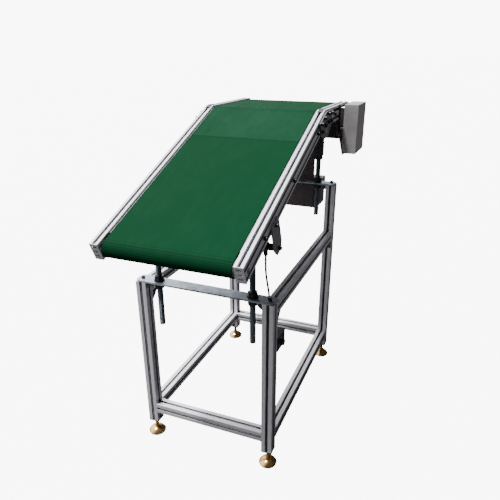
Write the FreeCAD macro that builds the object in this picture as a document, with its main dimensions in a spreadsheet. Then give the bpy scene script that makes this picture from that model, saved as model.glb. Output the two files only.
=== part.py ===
import FreeCAD, Part
import math
import os
import re
import Sketcher

# Inclined belt conveyor section on an aluminium-profile stand, in millimetres.
# X runs across the belt with the drive at +X, Y runs from the tail (low) to the head (high), Z is up.
# The origin is on the floor, under the middle of the whole section.

SIZES = {
    # Stand of T-slot profile
    "stand_width": 500, "stand_depth": 800, "profile": 40, "slot_mouth": 8, "slot_lip": 4,
    "slot_width": 16, "slot_depth": 11, "mouth_bevel": 1.1, "core_bore": 6.8, "edge_bevel": 1.2,
    "foot_height": 65, "front_leg": 585, "rear_leg": 785, "low_rail_gap": 40, "side_rail_drop": 5,
    # Levelling feet
    "foot_radius": 32.5, "foot_rise": 20, "pad_thick": 5, "stud_radius": 6, "stud_into_leg": 50,
    "cap_thick": 5, "foot_nut_thick": 8, "foot_nut_radius": 11, "foot_neck_radius": 9, "foot_neck": 8,
    # Cross plates and the threaded rods that carry the deck
    "plate_thick": 6, "plate_depth": 50, "plate_bevel": 10, "rod_radius": 10, "rod_spread": 170,
    "rod_below_front": 160, "rod_below_rear": 140, "rod_above_clamp": 14,
    "nut_radius": 17.3, "nut_thick": 16, "washer_radius": 18.5, "washer_thick": 3, "fit_gap": 0.05,
    "bracket_leg": 35, "plate_bracket_leg": 20, "connector_arm": 26, "connector_thick": 4.6, "connector_gap": 0.3,
    "set_screw_radius": 3, "set_screw_long": 3.4, "set_screw_at": 17, "bracket_wall": 4.5, "bracket_width": 36,
    "screw_radius": 6.5, "screw_head": 8, "socket_radius": 3.4, "socket_depth": 4,
    # Deck
    "deck_width": 480, "deck_rail": 30, "deck_rail_depth": 60, "rail_lip": 2.5, "rail_slot_depth": 9,
    "incline_angle": 22, "incline_length": 832, "head_length": 387, "deck_top": 1175, "knee_y": 560,
    "belt_width": 408, "belt_thick": 2.5, "roller_radius": 25, "roller_gap": 0.3, "belt_recess": 4, "tail_reach": 22, "shaft_radius": 7.5, "shaft_short": 5,
    "knee_radius": 20, "return_radius": 15, "return_shaft": 6, "bed_thick": 2, "bed_gap": 0.3,
    "bed_end_gap": 33, "bearing_radius": 13.5, "bearing_long": 12, "tie_radius": 8, "tail_tie": 150,
    "head_tie": 160,
    "knee_plate_thick": 6, "knee_plate_reach": 90, "knee_plate_hang": 26, "cover_width": 15,
    "cover_reach": 22, "cover_thick": 3,
    # Front cross bar under the deck
    "bar_ahead": 25.57, "pivot_depth": 135, "pivot_half_width": 30, "pivot_thick": 6, "pivot_end": 15,
    "bar_radius": 11, "clamp_half_width": 22, "clamp_half_height": 24, "clamp_wall": 16,
    # Rear hanger and control box
    "hanger_deep": 38, "hanger_tall": 70, "hanger_wall": 5, "drop_wide": 34, "drop_deep": 30,
    "drop_tall": 76, "rod_into_drop": 35, "panel_half_width": 147, "panel_thick": 3, "panel_low": 735,
    "panel_gap": 1, "box_left": 137, "box_right": 163, "box_deep": 132, "box_low": 730, "box_tall": 90,
    "lid_tall": 28, "lid_over": 2,
    # Drive
    "drive_plate_thick": 8, "motor_back": 30, "motor_drop": 73, "gearbox_side": 80, "gearbox_long": 60,
    "motor_radius": 38, "motor_long": 120, "motor_shaft": 6, "guard_gap": 16, "guard_wide": 56,
    "guard_deep": 170, "guard_past_head": 3, "guard_over": 1, "guard_tall": 193, "guard_wall": 2,
    "post_radius": 5, "chain_pitch": 9.525, "drive_teeth": 15, "motor_teeth": 12,
    "sprocket_thick": 5.3, "chain_half": 4, "chain_wide": 12, "chain_line": 37, "shaft_past_chain": 10,
    # Speed controller and its cable
    "controller_wide": 46, "controller_deep": 72, "controller_tall": 52, "controller_low": 462,
    "knob_radius": 11, "knob_long": 14, "knob_shaft": 3, "switch_wide": 12, "switch_tall": 20,
    "switch_deep": 8, "cable_radius": 3.5, "gland_radius": 7, "gland_long": 12, "cable_x": 203,
    "cable_top": 795, "clip_wide": 14, "clip_wall": 4, "gland_in_x": 7, "gland_in_y": 50, "switch_margin": 3,
}

PLACES = {
    "half_stand": "stand_width / 2",
    "leg_x": "half_stand - profile / 2",
    "front_leg_y": "profile / 2",
    "rear_leg_y": "stand_depth - profile / 2",
    "front_top": "foot_height + front_leg",
    "rear_top": "foot_height + rear_leg",
    "low_rail_z": "foot_height + low_rail_gap + profile / 2",
    "side_rail_z": "front_top - side_rail_drop - profile / 2",
    "inner_width": "stand_width - 2 * profile",
    "inner_depth": "stand_depth - 2 * profile",
    "front_rod_y": "plate_depth / 2",
    "rear_rod_y": "stand_depth - plate_depth / 2",
    "half_deck": "deck_width / 2",
    "inner_deck": "deck_width / 2 - deck_rail",
    "rise": "incline_length * sin(incline_angle)",
    "run": "incline_length * cos(incline_angle)",
    "half_turn": "tan(incline_angle / 2)",
    "tail_y": "knee_y - run",
    "tail_z": "deck_top - rise",
    "head_y": "knee_y + head_length",
    "mid_depth": "deck_rail_depth / 2",
    "wrap": "roller_radius + belt_thick",
    "belt_drop": "belt_recess",
    "roller_depth": "belt_recess + wrap",
    "belt_low": "roller_depth + wrap",
    "head_axis_y": "head_y - wrap",
    "head_axis_z": "deck_top - roller_depth",
    "knee_centre": "belt_drop + belt_thick + knee_radius",
    "return_depth": "belt_low + return_radius",
    "return_y": "knee_y + return_depth * half_turn",
    "return_z": "deck_top - return_depth",
    "bearing_bore": "shaft_radius + fit_gap",
    "hanger_back": "stand_depth + panel_gap",
    "hanger_front": "hanger_back - hanger_deep",
    "under_deck": "max(deck_rail_depth; belt_low + 1)",
    "hanger_low": "deck_top - under_deck - hanger_tall",
    "drop_low": "hanger_low - drop_tall",
    "bar_y": "front_rod_y + bar_ahead",
    "pivot_along": "(bar_y - tail_y - pivot_depth * sin(incline_angle)) / cos(incline_angle)",
    "bar_z": "tail_z + pivot_along * sin(incline_angle) - pivot_depth * cos(incline_angle)",
    "plate_x": "half_deck + drive_plate_thick",
    "guard_back": "head_y + guard_past_head",
    "guard_front": "guard_back - guard_deep",
    "guard_top": "deck_top + guard_over",
    "guard_low": "guard_top - guard_tall",
    "motor_y": "head_axis_y - motor_back",
    "motor_z": "head_axis_z - motor_drop",
    "guard_x": "plate_x + guard_gap",
    "chain_x": "plate_x + chain_line",
    "drive_pitch": "chain_pitch / 2 / sin(180 / drive_teeth)",
    "motor_pitch": "chain_pitch / 2 / sin(180 / motor_teeth)",
    "controller_x": "half_stand + 2 - controller_wide",
    "origin_x": "(guard_x + guard_wide - leg_x - foot_radius) / 2",
    "origin_y": "(guard_back + tail_y) / 2",
}

RIGHT_ANGLE = 90
WORD = re.compile(r"[a-z]+(?:_[a-z]+)*")

doc = FreeCAD.newDocument("belt_conveyor_section")
sheet = doc.addObject("Spreadsheet::Sheet", "sizes")
for row, (alias, size) in enumerate(SIZES.items(), 1):
    sheet.set(f"A{row}", alias)
    sheet.set(f"B{row}", str(size))
    sheet.setAlias(f"B{row}", alias)
doc.recompute()

NODES = {}
BASES = {}


def expand(text):
    """Write an expression in named sizes and places as one that the sheet's cells answer."""
    def swap(match):
        word = match.group(0)
        if word in PLACES:
            return "(" + expand(PLACES[word]) + ")"
        return "sizes." + word if word in SIZES else word
    return WORD.sub(swap, str(text))


def number(text):
    return float(sheet.evalExpression(expand(text)))


def bind(item, name, text):
    item.setExpression(name, expand(text))


def place(item, point, turn=None):
    """Put an object at a point of the section, turned about one axis, and remember the point."""
    if turn:
        axis, angle = turn
        item.Placement = FreeCAD.Placement(FreeCAD.Vector(), FreeCAD.Rotation(FreeCAD.Vector(*axis), 1))
        bind(item, "Placement.Rotation.Angle", angle)
    for letter, text in zip("xyz", point):
        bind(item, f"Placement.Base.{letter}", text)
    BASES[item.Name] = point
    return item


def box(name, low, size):
    item = doc.addObject("Part::Box", name)
    for edge, text in zip(("Length", "Width", "Height"), size):
        bind(item, edge, text)
    return place(item, low)


ALONG_X = ((0, 1, 0), RIGHT_ANGLE)
ALONG_Y = ((1, 0, 0), -RIGHT_ANGLE)
UP = None


def rod(name, start, radius, length, turn=ALONG_X):
    item = doc.addObject("Part::Cylinder", name)
    bind(item, "Radius", radius)
    bind(item, "Height", length)
    return place(item, start, turn)


def hexagon(name, start, radius, length, turn=UP):
    item = doc.addObject("Part::Prism", name)
    item.Polygon = 6
    bind(item, "Circumradius", radius)
    bind(item, "Height", length)
    return place(item, start, turn)


def fuse(name, *items):
    item = doc.addObject("Part::MultiFuse", name)
    item.Shapes = list(items)
    return item


def cut(name, base, *tools):
    item = doc.addObject("Part::Cut", name)
    item.Base = base
    item.Tool = tools[0] if len(tools) == 1 else fuse(name + "_tools", *tools)
    return item


def common(name, first, second):
    item = doc.addObject("Part::MultiCommon", name)
    item.Shapes = [first, second]
    return item


def group(name, items):
    item = doc.addObject("Part::Compound", name)
    item.Links = list(items)
    return item


def node(label, item):
    """Name a finished sub-part and move it so that the section's origin is at zero."""
    item.Label = label
    base = BASES.get(item.Name, (0, 0, 0))
    bind(item, "Placement.Base.x", f"{base[0]} - origin_x")
    bind(item, "Placement.Base.y", f"{base[1]} - origin_y")
    NODES[label] = item
    return item


def outline(body, name, plane, points, circles=()):
    """Add a sketch to a body: one closed outline whose corners are bound to the sheet, and circles."""
    sketch = body.newObject("Sketcher::SketchObject", name)
    planes = {feature.Role: feature for feature in body.Origin.OriginFeatures}
    sketch.AttachmentSupport = [(planes[plane], "")]
    sketch.MapMode = "FlatFace"
    count = len(points)
    corners = [FreeCAD.Vector(number(u), number(v), 0) for u, v in points]
    sketch.addGeometry([Part.LineSegment(corners[i], corners[(i + 1) % count]) for i in range(count)], False)
    sketch.addConstraint([Sketcher.Constraint("Coincident", i, 2, (i + 1) % count, 1) for i in range(count)])
    for index, (u, v) in enumerate(points):
        pin(sketch, index, 1, u, v)
    for u, v, radius in circles:
        centre = FreeCAD.Vector(number(u), number(v), 0)
        index = sketch.addGeometry(Part.Circle(centre, FreeCAD.Vector(0, 0, 1), number(radius)), False)
        pin(sketch, index, 3, u, v)
        size = sketch.addConstraint(Sketcher.Constraint("Radius", index, number(radius)))
        bind(sketch, f"Constraints[{size}]", radius)
    return sketch


def pin(sketch, index, end, u, v):
    for kind, text in (("DistanceX", u), ("DistanceY", v)):
        lock = sketch.addConstraint(Sketcher.Constraint(kind, -1, 1, index, end, number(text)))
        bind(sketch, f"Constraints[{lock}]", text)


def slab(name, plane, points, start, length, circles=()):
    """A plate or bar of constant section: an outline in a plane, padded from start by length."""
    body = doc.addObject("PartDesign::Body", name)
    sketch = outline(body, name + "_outline", plane, points, circles)
    pad = body.newObject("PartDesign::Pad", name + "_pad")
    pad.Profile = sketch
    bind(pad, "Length", length)
    pad.Reversed = plane == "XZ_Plane"
    axis = {"YZ_Plane": 0, "XZ_Plane": 1, "XY_Plane": 2}[plane]
    point = [0, 0, 0]
    point[axis] = start
    return place(body, point)


def slotted(name, wide, deep, lip, depth, rows, length, point, turn):
    """T-slot profile: rows of slots on its long sides, one slot on each short side, bevelled corners."""
    def side(half, reach, centres):
        run_of = []
        for centre in centres:
            run_of += [
                (f"{centre} - slot_mouth / 2 - mouth_bevel", reach),
                (f"{centre} - slot_mouth / 2", f"{reach} - mouth_bevel"),
                (f"{centre} - slot_mouth / 2", f"{reach} - {lip}"),
                (f"{centre} - slot_width / 2", f"{reach} - {lip}"),
                (f"{centre} - slot_width / 4", f"{reach} - {depth}"),
                (f"{centre} + slot_width / 4", f"{reach} - {depth}"),
                (f"{centre} + slot_width / 2", f"{reach} - {lip}"),
                (f"{centre} + slot_mouth / 2", f"{reach} - {lip}"),
                (f"{centre} + slot_mouth / 2", f"{reach} - mouth_bevel"),
                (f"{centre} + slot_mouth / 2 + mouth_bevel", reach),
            ]
        return [(f"-({half}) + edge_bevel", reach)] + run_of + [(f"{half} - edge_bevel", reach)]

    x_half, y_half = f"({wide}) / 2", f"({deep}) / 2"
    points = []
    for along, out in side(x_half, y_half, ["0"]):
        points.append((along, out))
    for along, out in side(y_half, x_half, rows):
        points.append((out, f"-({along})"))
    for along, out in side(x_half, y_half, ["0"]):
        points.append((f"-({along})", f"-({out})"))
    for along, out in side(y_half, x_half, rows):
        points.append((f"-({out})", along))
    body = doc.addObject("PartDesign::Body", name)
    circles = [("0", f"({row})", "core_bore / 2") for row in rows]
    pad = body.newObject("PartDesign::Pad", name + "_pad")
    pad.Profile = outline(body, name + "_outline", "XY_Plane", points, circles)
    bind(pad, "Length", length)
    return place(body, point, turn)


def stand_profile(name, length, point, turn):
    return slotted(name, "profile", "profile", "slot_lip", "slot_depth", ["0"], length, point, turn)


def deck_profile(name, length, point, turn):
    rows = ["-deck_rail_depth / 4", "deck_rail_depth / 4"]
    return slotted(name, "deck_rail", "deck_rail_depth", "rail_lip", "rail_slot_depth", rows,
                   length, point, turn)


def on_incline(along, depth):
    """A point of the YZ plane: a distance up the slope from the tail, and a depth below the deck's top."""
    y = f"tail_y + ({along}) * cos(incline_angle) + ({depth}) * sin(incline_angle)"
    z = f"tail_z + ({along}) * sin(incline_angle) - ({depth}) * cos(incline_angle)"
    return y, z


def on_head(along, depth):
    """The same on the level head: a distance past the knee, and a depth below the deck's top."""
    return f"knee_y + ({along})", f"deck_top - ({depth})"


def bend(centre_depth, radius, steps=4):
    """Points from the slope to the level round a centre on the knee's mitre line."""
    y, z = on_head(f"({centre_depth}) * half_turn", centre_depth)
    turns = [f"incline_angle * {steps - step} / {steps}" for step in range(steps + 1)]
    return [(f"{y} - ({radius}) * sin({turn})", f"{z} + ({radius}) * cos({turn})") for turn in turns]


def screw_head(name, start, turn):
    head = rod(name, start, "screw_radius", "screw_head", turn)
    x, y, z = start
    if turn is UP:
        mouth = (x, y, f"{z} + screw_head - socket_depth")
    else:
        mouth = (f"{x} + screw_head - socket_depth", y, z)
    return cut(name + "_screw", head, hexagon(name + "_socket", mouth, "socket_radius", "socket_depth + 1", turn))


DECK_SCREWS = []


def side_screws(name, reach, y, z):
    """A screw head on each side of the deck, a distance out from the middle."""
    DECK_SCREWS.append(screw_head(name + "_right", (reach, y, z), ALONG_X))
    head = rod(name + "_left", (f"-({reach}) - screw_head", y, z), "screw_radius", "screw_head")
    mouth = (f"-({reach}) - screw_head - 1", y, z)
    socket = hexagon(name + "_left_socket", mouth, "socket_radius", "socket_depth + 1", ALONG_X)
    DECK_SCREWS.append(cut(name + "_left_screw", head, socket))


SIDES = {"left": "-1", "right": "1"}
OPPOSITE = {"-1": "1", "1": "-1"}
CORNERS = {
    "front_left": ("-leg_x", "front_leg_y", "front_leg"),
    "front_right": ("leg_x", "front_leg_y", "front_leg"),
    "rear_left": ("-leg_x", "rear_leg_y", "rear_leg"),
    "rear_right": ("leg_x", "rear_leg_y", "rear_leg"),
}


def stand_frame():
    caps = []
    for corner, (x, y, length) in CORNERS.items():
        leg = stand_profile(f"leg_{corner}_profile", length, (x, y, "foot_height"), UP)
        bore = rod(f"leg_bore_{corner}", (x, y, "foot_height - 1"), "stud_radius + 1", "stud_into_leg + 22", UP)
        node(f"leg_{corner}", cut(f"leg_{corner}_bored", leg, bore))
        low = (f"{x} - profile / 2", f"{y} - profile / 2", "foot_height - cap_thick")
        cap = box(f"cap_{corner}", low, ("profile", "profile", "cap_thick"))
        hole = rod(f"cap_hole_{corner}", (x, y, f"{low[2]} - 1"), "stud_radius + fit_gap", "cap_thick + 2", UP)
        caps.append(cut(f"cap_{corner}_bored", cap, hole))
    node("leg_end_caps", group("caps", caps))
    for end, y in (("front", "front_leg_y"), ("rear", "rear_leg_y")):
        start = ("profile - half_stand", y, "low_rail_z")
        node(f"low_rail_{end}", stand_profile(f"low_rail_{end}", "inner_width", start, ALONG_X))
    for side, sign in SIDES.items():
        x = f"{sign} * leg_x"
        node(f"low_rail_{side}", stand_profile(f"low_rail_{side}", "inner_depth",
                                               (x, "profile", "low_rail_z"), ALONG_Y))
        node(f"top_rail_{side}", stand_profile(f"top_rail_{side}", "inner_depth",
                                               (x, "profile", "side_rail_z"), ALONG_Y))


def corner_bracket(name, plane, u, v, u_sign, v_sign, middle, leg="bracket_leg"):
    """Cast corner bracket: two flanges and two side webs, open between them."""
    def corner(a, b):
        return f"{u} + {u_sign} * ({a})", f"{v} + {v_sign} * ({b})"

    wedge = [corner("0", "0"), corner(leg, "0"), corner(leg, "bracket_wall"),
             corner("bracket_wall", leg), corner("0", leg)]
    hollow = [corner("bracket_wall", "bracket_wall"), corner(f"{leg} + 1", "bracket_wall"),
              corner(f"{leg} + 1", f"{leg} + 1"), corner("bracket_wall", f"{leg} + 1")]
    solid = slab(name, plane, wedge, f"{middle} - bracket_width / 2", "bracket_width")
    inside = slab(name + "_hollow", plane, hollow, f"{middle} - bracket_width / 2 + bracket_wall",
                  "bracket_width - 2 * bracket_wall")
    return cut(name + "_bracket", solid, inside)


def corner_brackets():
    """Cast brackets under the cross plates and under the top side rails."""
    items = []
    for side, sign in SIDES.items():
        inner_x = f"{sign} * (half_stand - profile)"
        for end, y, top in (("front", "front_leg_y", "front_top"), ("rear", "rear_leg_y", "rear_top")):
            items.append(corner_bracket(f"bracket_{end}_{side}_plate", "XZ_Plane", inner_x, top,
                                        OPPOSITE[sign], "-1", y, "plate_bracket_leg"))
        for end, y, y_sign in (("front", "profile", "1"), ("rear", "stand_depth - profile", "-1")):
            items.append(corner_bracket(f"bracket_{end}_{side}_top", "YZ_Plane", y, "side_rail_z - profile / 2",
                                        y_sign, "-1", f"{sign} * leg_x"))
    node("corner_brackets", group("brackets", items))


def groove_connector(name, plane, u, v, u_sign, v_sign, middle):
    """Steel angle that lies in the grooves of two profiles at a right angle, with a set screw in each arm."""
    near, far = "slot_lip + 0.2", "slot_lip + 0.2 + connector_thick"

    def corner(a, b):
        return f"{u} + {u_sign} * ({a})", f"{v} + {v_sign} * ({b})"

    arm = "connector_arm"
    angle = [corner(f"-({far})", f"-({far})"), corner(arm, f"-({far})"), corner(arm, f"-({near})"),
             corner(f"-({near})", f"-({near})"), corner(f"-({near})", arm), corner(f"-({far})", arm)]
    wide = "slot_mouth - 2 * connector_gap"
    bar = slab(name, plane, angle, f"{middle} - ({wide}) / 2", wide)
    seats = []
    for tag, along, across in (("post", ("-(slot_lip + 0.2)", "set_screw_at"), True),
                               ("rail", ("set_screw_at", "-(slot_lip + 0.2)"), False)):
        start_u, start_v = corner(*along)
        sign = u_sign if across else v_sign
        if sign == "-1":
            start_u, start_v = (f"{start_u} - set_screw_long", start_v) if across else (
                start_u, f"{start_v} - set_screw_long")
        if plane == "XZ_Plane":
            point, turn = (start_u, middle, start_v), ALONG_X if across else UP
        else:
            point, turn = (middle, start_u, start_v), ALONG_Y if across else UP
        seats.append(rod(f"{name}_{tag}_screw", point, "set_screw_radius", "set_screw_long", turn))
    return fuse(name + "_connector", bar, *seats)


def groove_connectors():
    items = []
    levels = (("under", "low_rail_z - profile / 2", "-1"), ("over", "low_rail_z + profile / 2", "1"))
    for side, sign in SIDES.items():
        inner_x = f"{sign} * (half_stand - profile)"
        for tag, z, z_sign in levels:
            for end, y in (("front", "front_leg_y"), ("rear", "rear_leg_y")):
                items.append(groove_connector(f"cross_{end}_{side}_{tag}", "XZ_Plane", inner_x, z,
                                              OPPOSITE[sign], z_sign, y))
            for end, y, y_sign in (("front", "profile", "1"), ("rear", "stand_depth - profile", "-1")):
                items.append(groove_connector(f"side_{end}_{side}_{tag}", "YZ_Plane", y, z,
                                              y_sign, z_sign, f"{sign} * leg_x"))
    node("groove_connectors", group("connectors", items))


def levelling_feet():
    nuts = []
    for corner, (x, y, _) in CORNERS.items():
        pad = rod(f"pad_{corner}", (x, y, "0"), "foot_radius - 1.5", "pad_thick", UP)
        ball = f"((foot_radius ^ 2 + foot_rise ^ 2) / 2 / foot_rise)"
        dome = doc.addObject("Part::Sphere", f"dome_{corner}")
        bind(dome, "Radius", ball)
        bind(dome, "Angle1", f"asin(({ball} - foot_rise) / {ball})")
        place(dome, (x, y, f"pad_thick + foot_rise - {ball}"))
        neck_z = "pad_thick + foot_rise - 3"
        neck = hexagon(f"neck_{corner}", (x, y, neck_z), "foot_neck_radius", "foot_neck + 3")
        stud = rod(f"stud_{corner}", (x, y, neck_z), "stud_radius",
                   f"foot_height + stud_into_leg - ({neck_z})", UP)
        cup = fuse(f"cup_{corner}", dome, neck, stud)
        node(f"foot_{corner}", group(f"foot_{corner}", (pad, cup)))
        nut_z = "foot_height - cap_thick - foot_nut_thick"
        nut = hexagon(f"foot_nut_{corner}", (x, y, nut_z), "foot_nut_radius", "foot_nut_thick")
        hole = rod(f"foot_nut_hole_{corner}", (x, y, f"{nut_z} - 1"), "stud_radius + fit_gap",
                   "foot_nut_thick + 2", UP)
        nuts.append(cut(f"foot_nut_{corner}_bored", nut, hole))
    node("foot_lock_nuts", group("foot_nuts", nuts))


RODS = {
    "front_left": ("-rod_spread", "front_rod_y", "front_top"),
    "front_right": ("rod_spread", "front_rod_y", "front_top"),
    "rear_left": ("-rod_spread", "rear_rod_y", "rear_top"),
    "rear_right": ("rod_spread", "rear_rod_y", "rear_top"),
}


def ring(name, shape, point, radius, height):
    x, y, z = point
    hole = rod(name + "_hole", (x, y, f"{z} - 1"), "rod_radius + fit_gap", f"{height} + 2", UP)
    return cut(name, shape(name + "_blank", point, radius, height, UP), hole)


def cross_plates():
    screws = []
    ends = (("front", "0", "front_top", "front_rod_y", "front_leg_y"),
            ("rear", "stand_depth - plate_depth", "rear_top", "rear_rod_y", "rear_leg_y"))
    for end, low_y, top, rod_y, screw_y in ends:
        high_y = f"{low_y} + plate_depth"
        half, bevel = "half_stand", "plate_bevel"
        points = [(f"-{half}", f"{low_y} + {bevel}"), (f"{bevel} - {half}", low_y),
                  (f"{half} - {bevel}", low_y), (half, f"{low_y} + {bevel}"),
                  (half, f"{high_y} - {bevel}"), (f"{half} - {bevel}", high_y),
                  (f"{bevel} - {half}", high_y), (f"-{half}", f"{high_y} - {bevel}")]
        holes = [(f"{sign} * rod_spread", rod_y, "rod_radius + 1") for sign in SIDES.values()]
        node(f"cross_plate_{end}", slab(f"cross_plate_{end}", "XY_Plane", points, top, "plate_thick", holes))
        for side, sign in SIDES.items():
            screws.append(screw_head(f"plate_screw_{end}_{side}",
                                     (f"{sign} * leg_x", screw_y, f"{top} + plate_thick"), UP))
    node("plate_screws", group("plate_screw_heads", screws))
    nuts, washers = [], []
    for corner, (x, y, top) in RODS.items():
        over, under = f"{top} + plate_thick", top
        washers.append(ring(f"washer_over_{corner}", rod, (x, y, over), "washer_radius", "washer_thick"))
        washers.append(ring(f"washer_under_{corner}", rod, (x, y, f"{under} - washer_thick"),
                            "washer_radius", "washer_thick"))
        nuts.append(ring(f"nut_over_{corner}", hexagon, (x, y, f"{over} + washer_thick"),
                         "nut_radius", "nut_thick"))
        nuts.append(ring(f"nut_under_{corner}", hexagon,
                         (x, y, f"{under} - washer_thick - nut_thick"), "nut_radius", "nut_thick"))
    node("plate_nuts", group("plate_nut_set", nuts + washers))


def shaft_holes(name, side_sign, y, z):
    """The bore for a shaft through a side rail, with its bearing's pocket in the inner face."""
    reach = "inner_deck - 1" if side_sign == "1" else "-half_deck - 1"
    pocket = "inner_deck - 1" if side_sign == "1" else "-inner_deck - bearing_long"
    return [rod(name + "_bore", (reach, y, z), "shaft_radius + 0.5", "deck_rail + 2"),
            rod(name + "_pocket", (pocket, y, z), "bearing_radius + fit_gap", "bearing_long + 1")]


def bearing(name, side_sign, y, z):
    start = "inner_deck" if side_sign == "1" else "-inner_deck - bearing_long"
    body = rod(name, (start, y, z), "bearing_radius", "bearing_long")
    hole = rod(name + "_hole", (f"{start} - 1", y, z), "bearing_bore", "bearing_long + 2")
    return cut(name + "_ring", body, hole)


def side_rails():
    tail_axis = on_incline("tail_reach", "roller_depth")
    head_axis = ("head_axis_y", "head_axis_z")
    bearings = []
    for side, sign in SIDES.items():
        x = f"{sign} * (half_deck - deck_rail / 2)"
        low_x = "inner_deck - 1" if sign == "1" else "-half_deck - 1"
        slope = deck_profile(f"slope_{side}", "incline_length + deck_rail_depth",
                             (x, *on_incline("0", "mid_depth")), ((1, 0, 0), "incline_angle - 90"))
        mitre = slab(f"slope_mitre_{side}", "YZ_Plane",
                     [on_incline("0", "-1"), on_head("-half_turn", "-1"),
                      on_head("(deck_rail_depth + 1) * half_turn", "deck_rail_depth + 1"),
                      on_incline("0", "deck_rail_depth + 1")], low_x, "deck_rail + 2")
        node(f"incline_rail_{side}", cut(f"incline_rail_{side}", common(f"slope_cut_{side}", slope, mitre),
                                         *shaft_holes(f"tail_{side}", sign, *tail_axis)))
        level = deck_profile(f"level_{side}", "head_length + deck_rail_depth",
                             (x, "knee_y - deck_rail_depth", "deck_top - mid_depth"), ALONG_Y)
        mitre = slab(f"level_mitre_{side}", "YZ_Plane",
                     [on_head("-half_turn", "-1"), on_head("head_length", "-1"),
                      on_head("head_length", "deck_rail_depth + 1"),
                      on_head("(deck_rail_depth + 1) * half_turn", "deck_rail_depth + 1")],
                     low_x, "deck_rail + 2")
        node(f"head_rail_{side}", cut(f"head_rail_{side}", common(f"level_cut_{side}", level, mitre),
                                      *shaft_holes(f"head_{side}", sign, *head_axis)))
        bearings.append(bearing(f"tail_bearing_{side}", sign, *tail_axis))
        bearings.append(bearing(f"head_bearing_{side}", sign, *head_axis))
    node("roller_bearings", group("bearing_set", bearings))


def belt_and_bed():
    tail_y, tail_z = on_incline("tail_reach", "roller_depth")

    def loop(name, radius, knee, under, x, width):
        top = on_incline("tail_reach", f"roller_depth - {radius}")
        low = on_incline("tail_reach", f"roller_depth + {radius}")
        points = [top, *bend("knee_centre", knee), ("head_axis_y", f"head_axis_z + {radius}"),
                  ("head_axis_y", f"head_axis_z - {radius}"), *reversed(bend("return_depth", under)), low]
        return fuse(name, slab(name + "_span", "YZ_Plane", points, x, width),
                    rod(name + "_tail", (x, tail_y, tail_z), radius, width),
                    rod(name + "_head", (x, "head_axis_y", "head_axis_z"), radius, width))

    outer = loop("belt_outer", "(wrap)", "knee_radius + belt_thick", "return_radius",
                 "-belt_width / 2", "belt_width")
    inner = loop("belt_inner", "(roller_radius)", "knee_radius", "return_radius + belt_thick",
                 "-belt_width / 2 - 1", "belt_width + 2")
    node("belt", cut("belt", outer, inner))

    over, under = "belt_drop + belt_thick + bed_gap", "belt_drop + belt_thick + bed_gap + bed_thick"
    start = "wrap + bed_end_gap"
    end = "head_length - wrap - bed_end_gap"
    points = [on_incline(start, over), *bend("knee_centre", "knee_radius - bed_gap"), on_head(end, over),
              on_head(end, under), *reversed(bend("knee_centre", "knee_radius - bed_gap - bed_thick")),
              on_incline(start, under)]
    node("slider_bed", slab("slider_bed", "YZ_Plane", points, "-inner_deck", "2 * inner_deck"))


TIE_BARS = [on_incline("tail_tie", "mid_depth"), on_incline("incline_length / 2 + 14", "mid_depth"),
            on_incline("incline_length - 112", "mid_depth"), on_head("head_tie", "mid_depth")]


def tie_bars():
    bars = []
    for index, (y, z) in enumerate(TIE_BARS):
        bars.append(rod(f"tie_bar_{index}", ("-inner_deck", y, z), "tie_radius", "2 * inner_deck"))
        side_screws(f"tie_screw_{index}", "half_deck", y, z)
    node("tie_bars", group("tie_bar_set", bars))


def knee_joints():
    reach, edge = "knee_plate_reach", "6"
    low = "return_depth + knee_plate_hang"
    covers = []
    upper, lower = "deck_rail_depth / 4", "deck_rail_depth * 3 / 4"
    spots = [on_incline(f"incline_length - {gap}", depth) for gap in ("75", "30") for depth in (upper, lower)]
    spots += [on_head(gap, depth) for gap in ("35", "75") for depth in (upper, lower)]
    for side, sign in SIDES.items():
        points = [on_incline(f"incline_length - {reach}", edge), on_head(f"{edge} * half_turn", edge),
                  on_head(reach, edge), on_head(reach, f"deck_rail_depth - {edge}"),
                  on_head(f"return_depth * half_turn + 24", low), on_head(f"return_depth * half_turn - 24", low),
                  on_incline(f"incline_length - {reach}", f"deck_rail_depth - {edge}")]
        x = "half_deck" if sign == "1" else "-half_deck - knee_plate_thick"
        hole = [("return_y", "return_z", "return_shaft + fit_gap")]
        node(f"knee_plate_{side}", slab(f"knee_plate_{side}", "YZ_Plane", points, x, "knee_plate_thick", hole))
        cover = [on_incline("incline_length - cover_reach", "0"), on_head("0", "0"), on_head("cover_reach", "0"),
                 on_head("cover_reach", "-cover_thick"), on_head("-cover_thick * half_turn", "-cover_thick"),
                 on_incline("incline_length - cover_reach", "-cover_thick")]
        covers.append(slab(f"knee_cover_{side}", "YZ_Plane", cover,
                           f"{sign} * (half_deck - deck_rail / 2) - cover_width / 2", "cover_width"))
    for index, (y, z) in enumerate(spots):
        side_screws(f"knee_screw_{index}", "half_deck + knee_plate_thick", y, z)
    node("knee_covers", group("knee_cover_set", covers))


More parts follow.
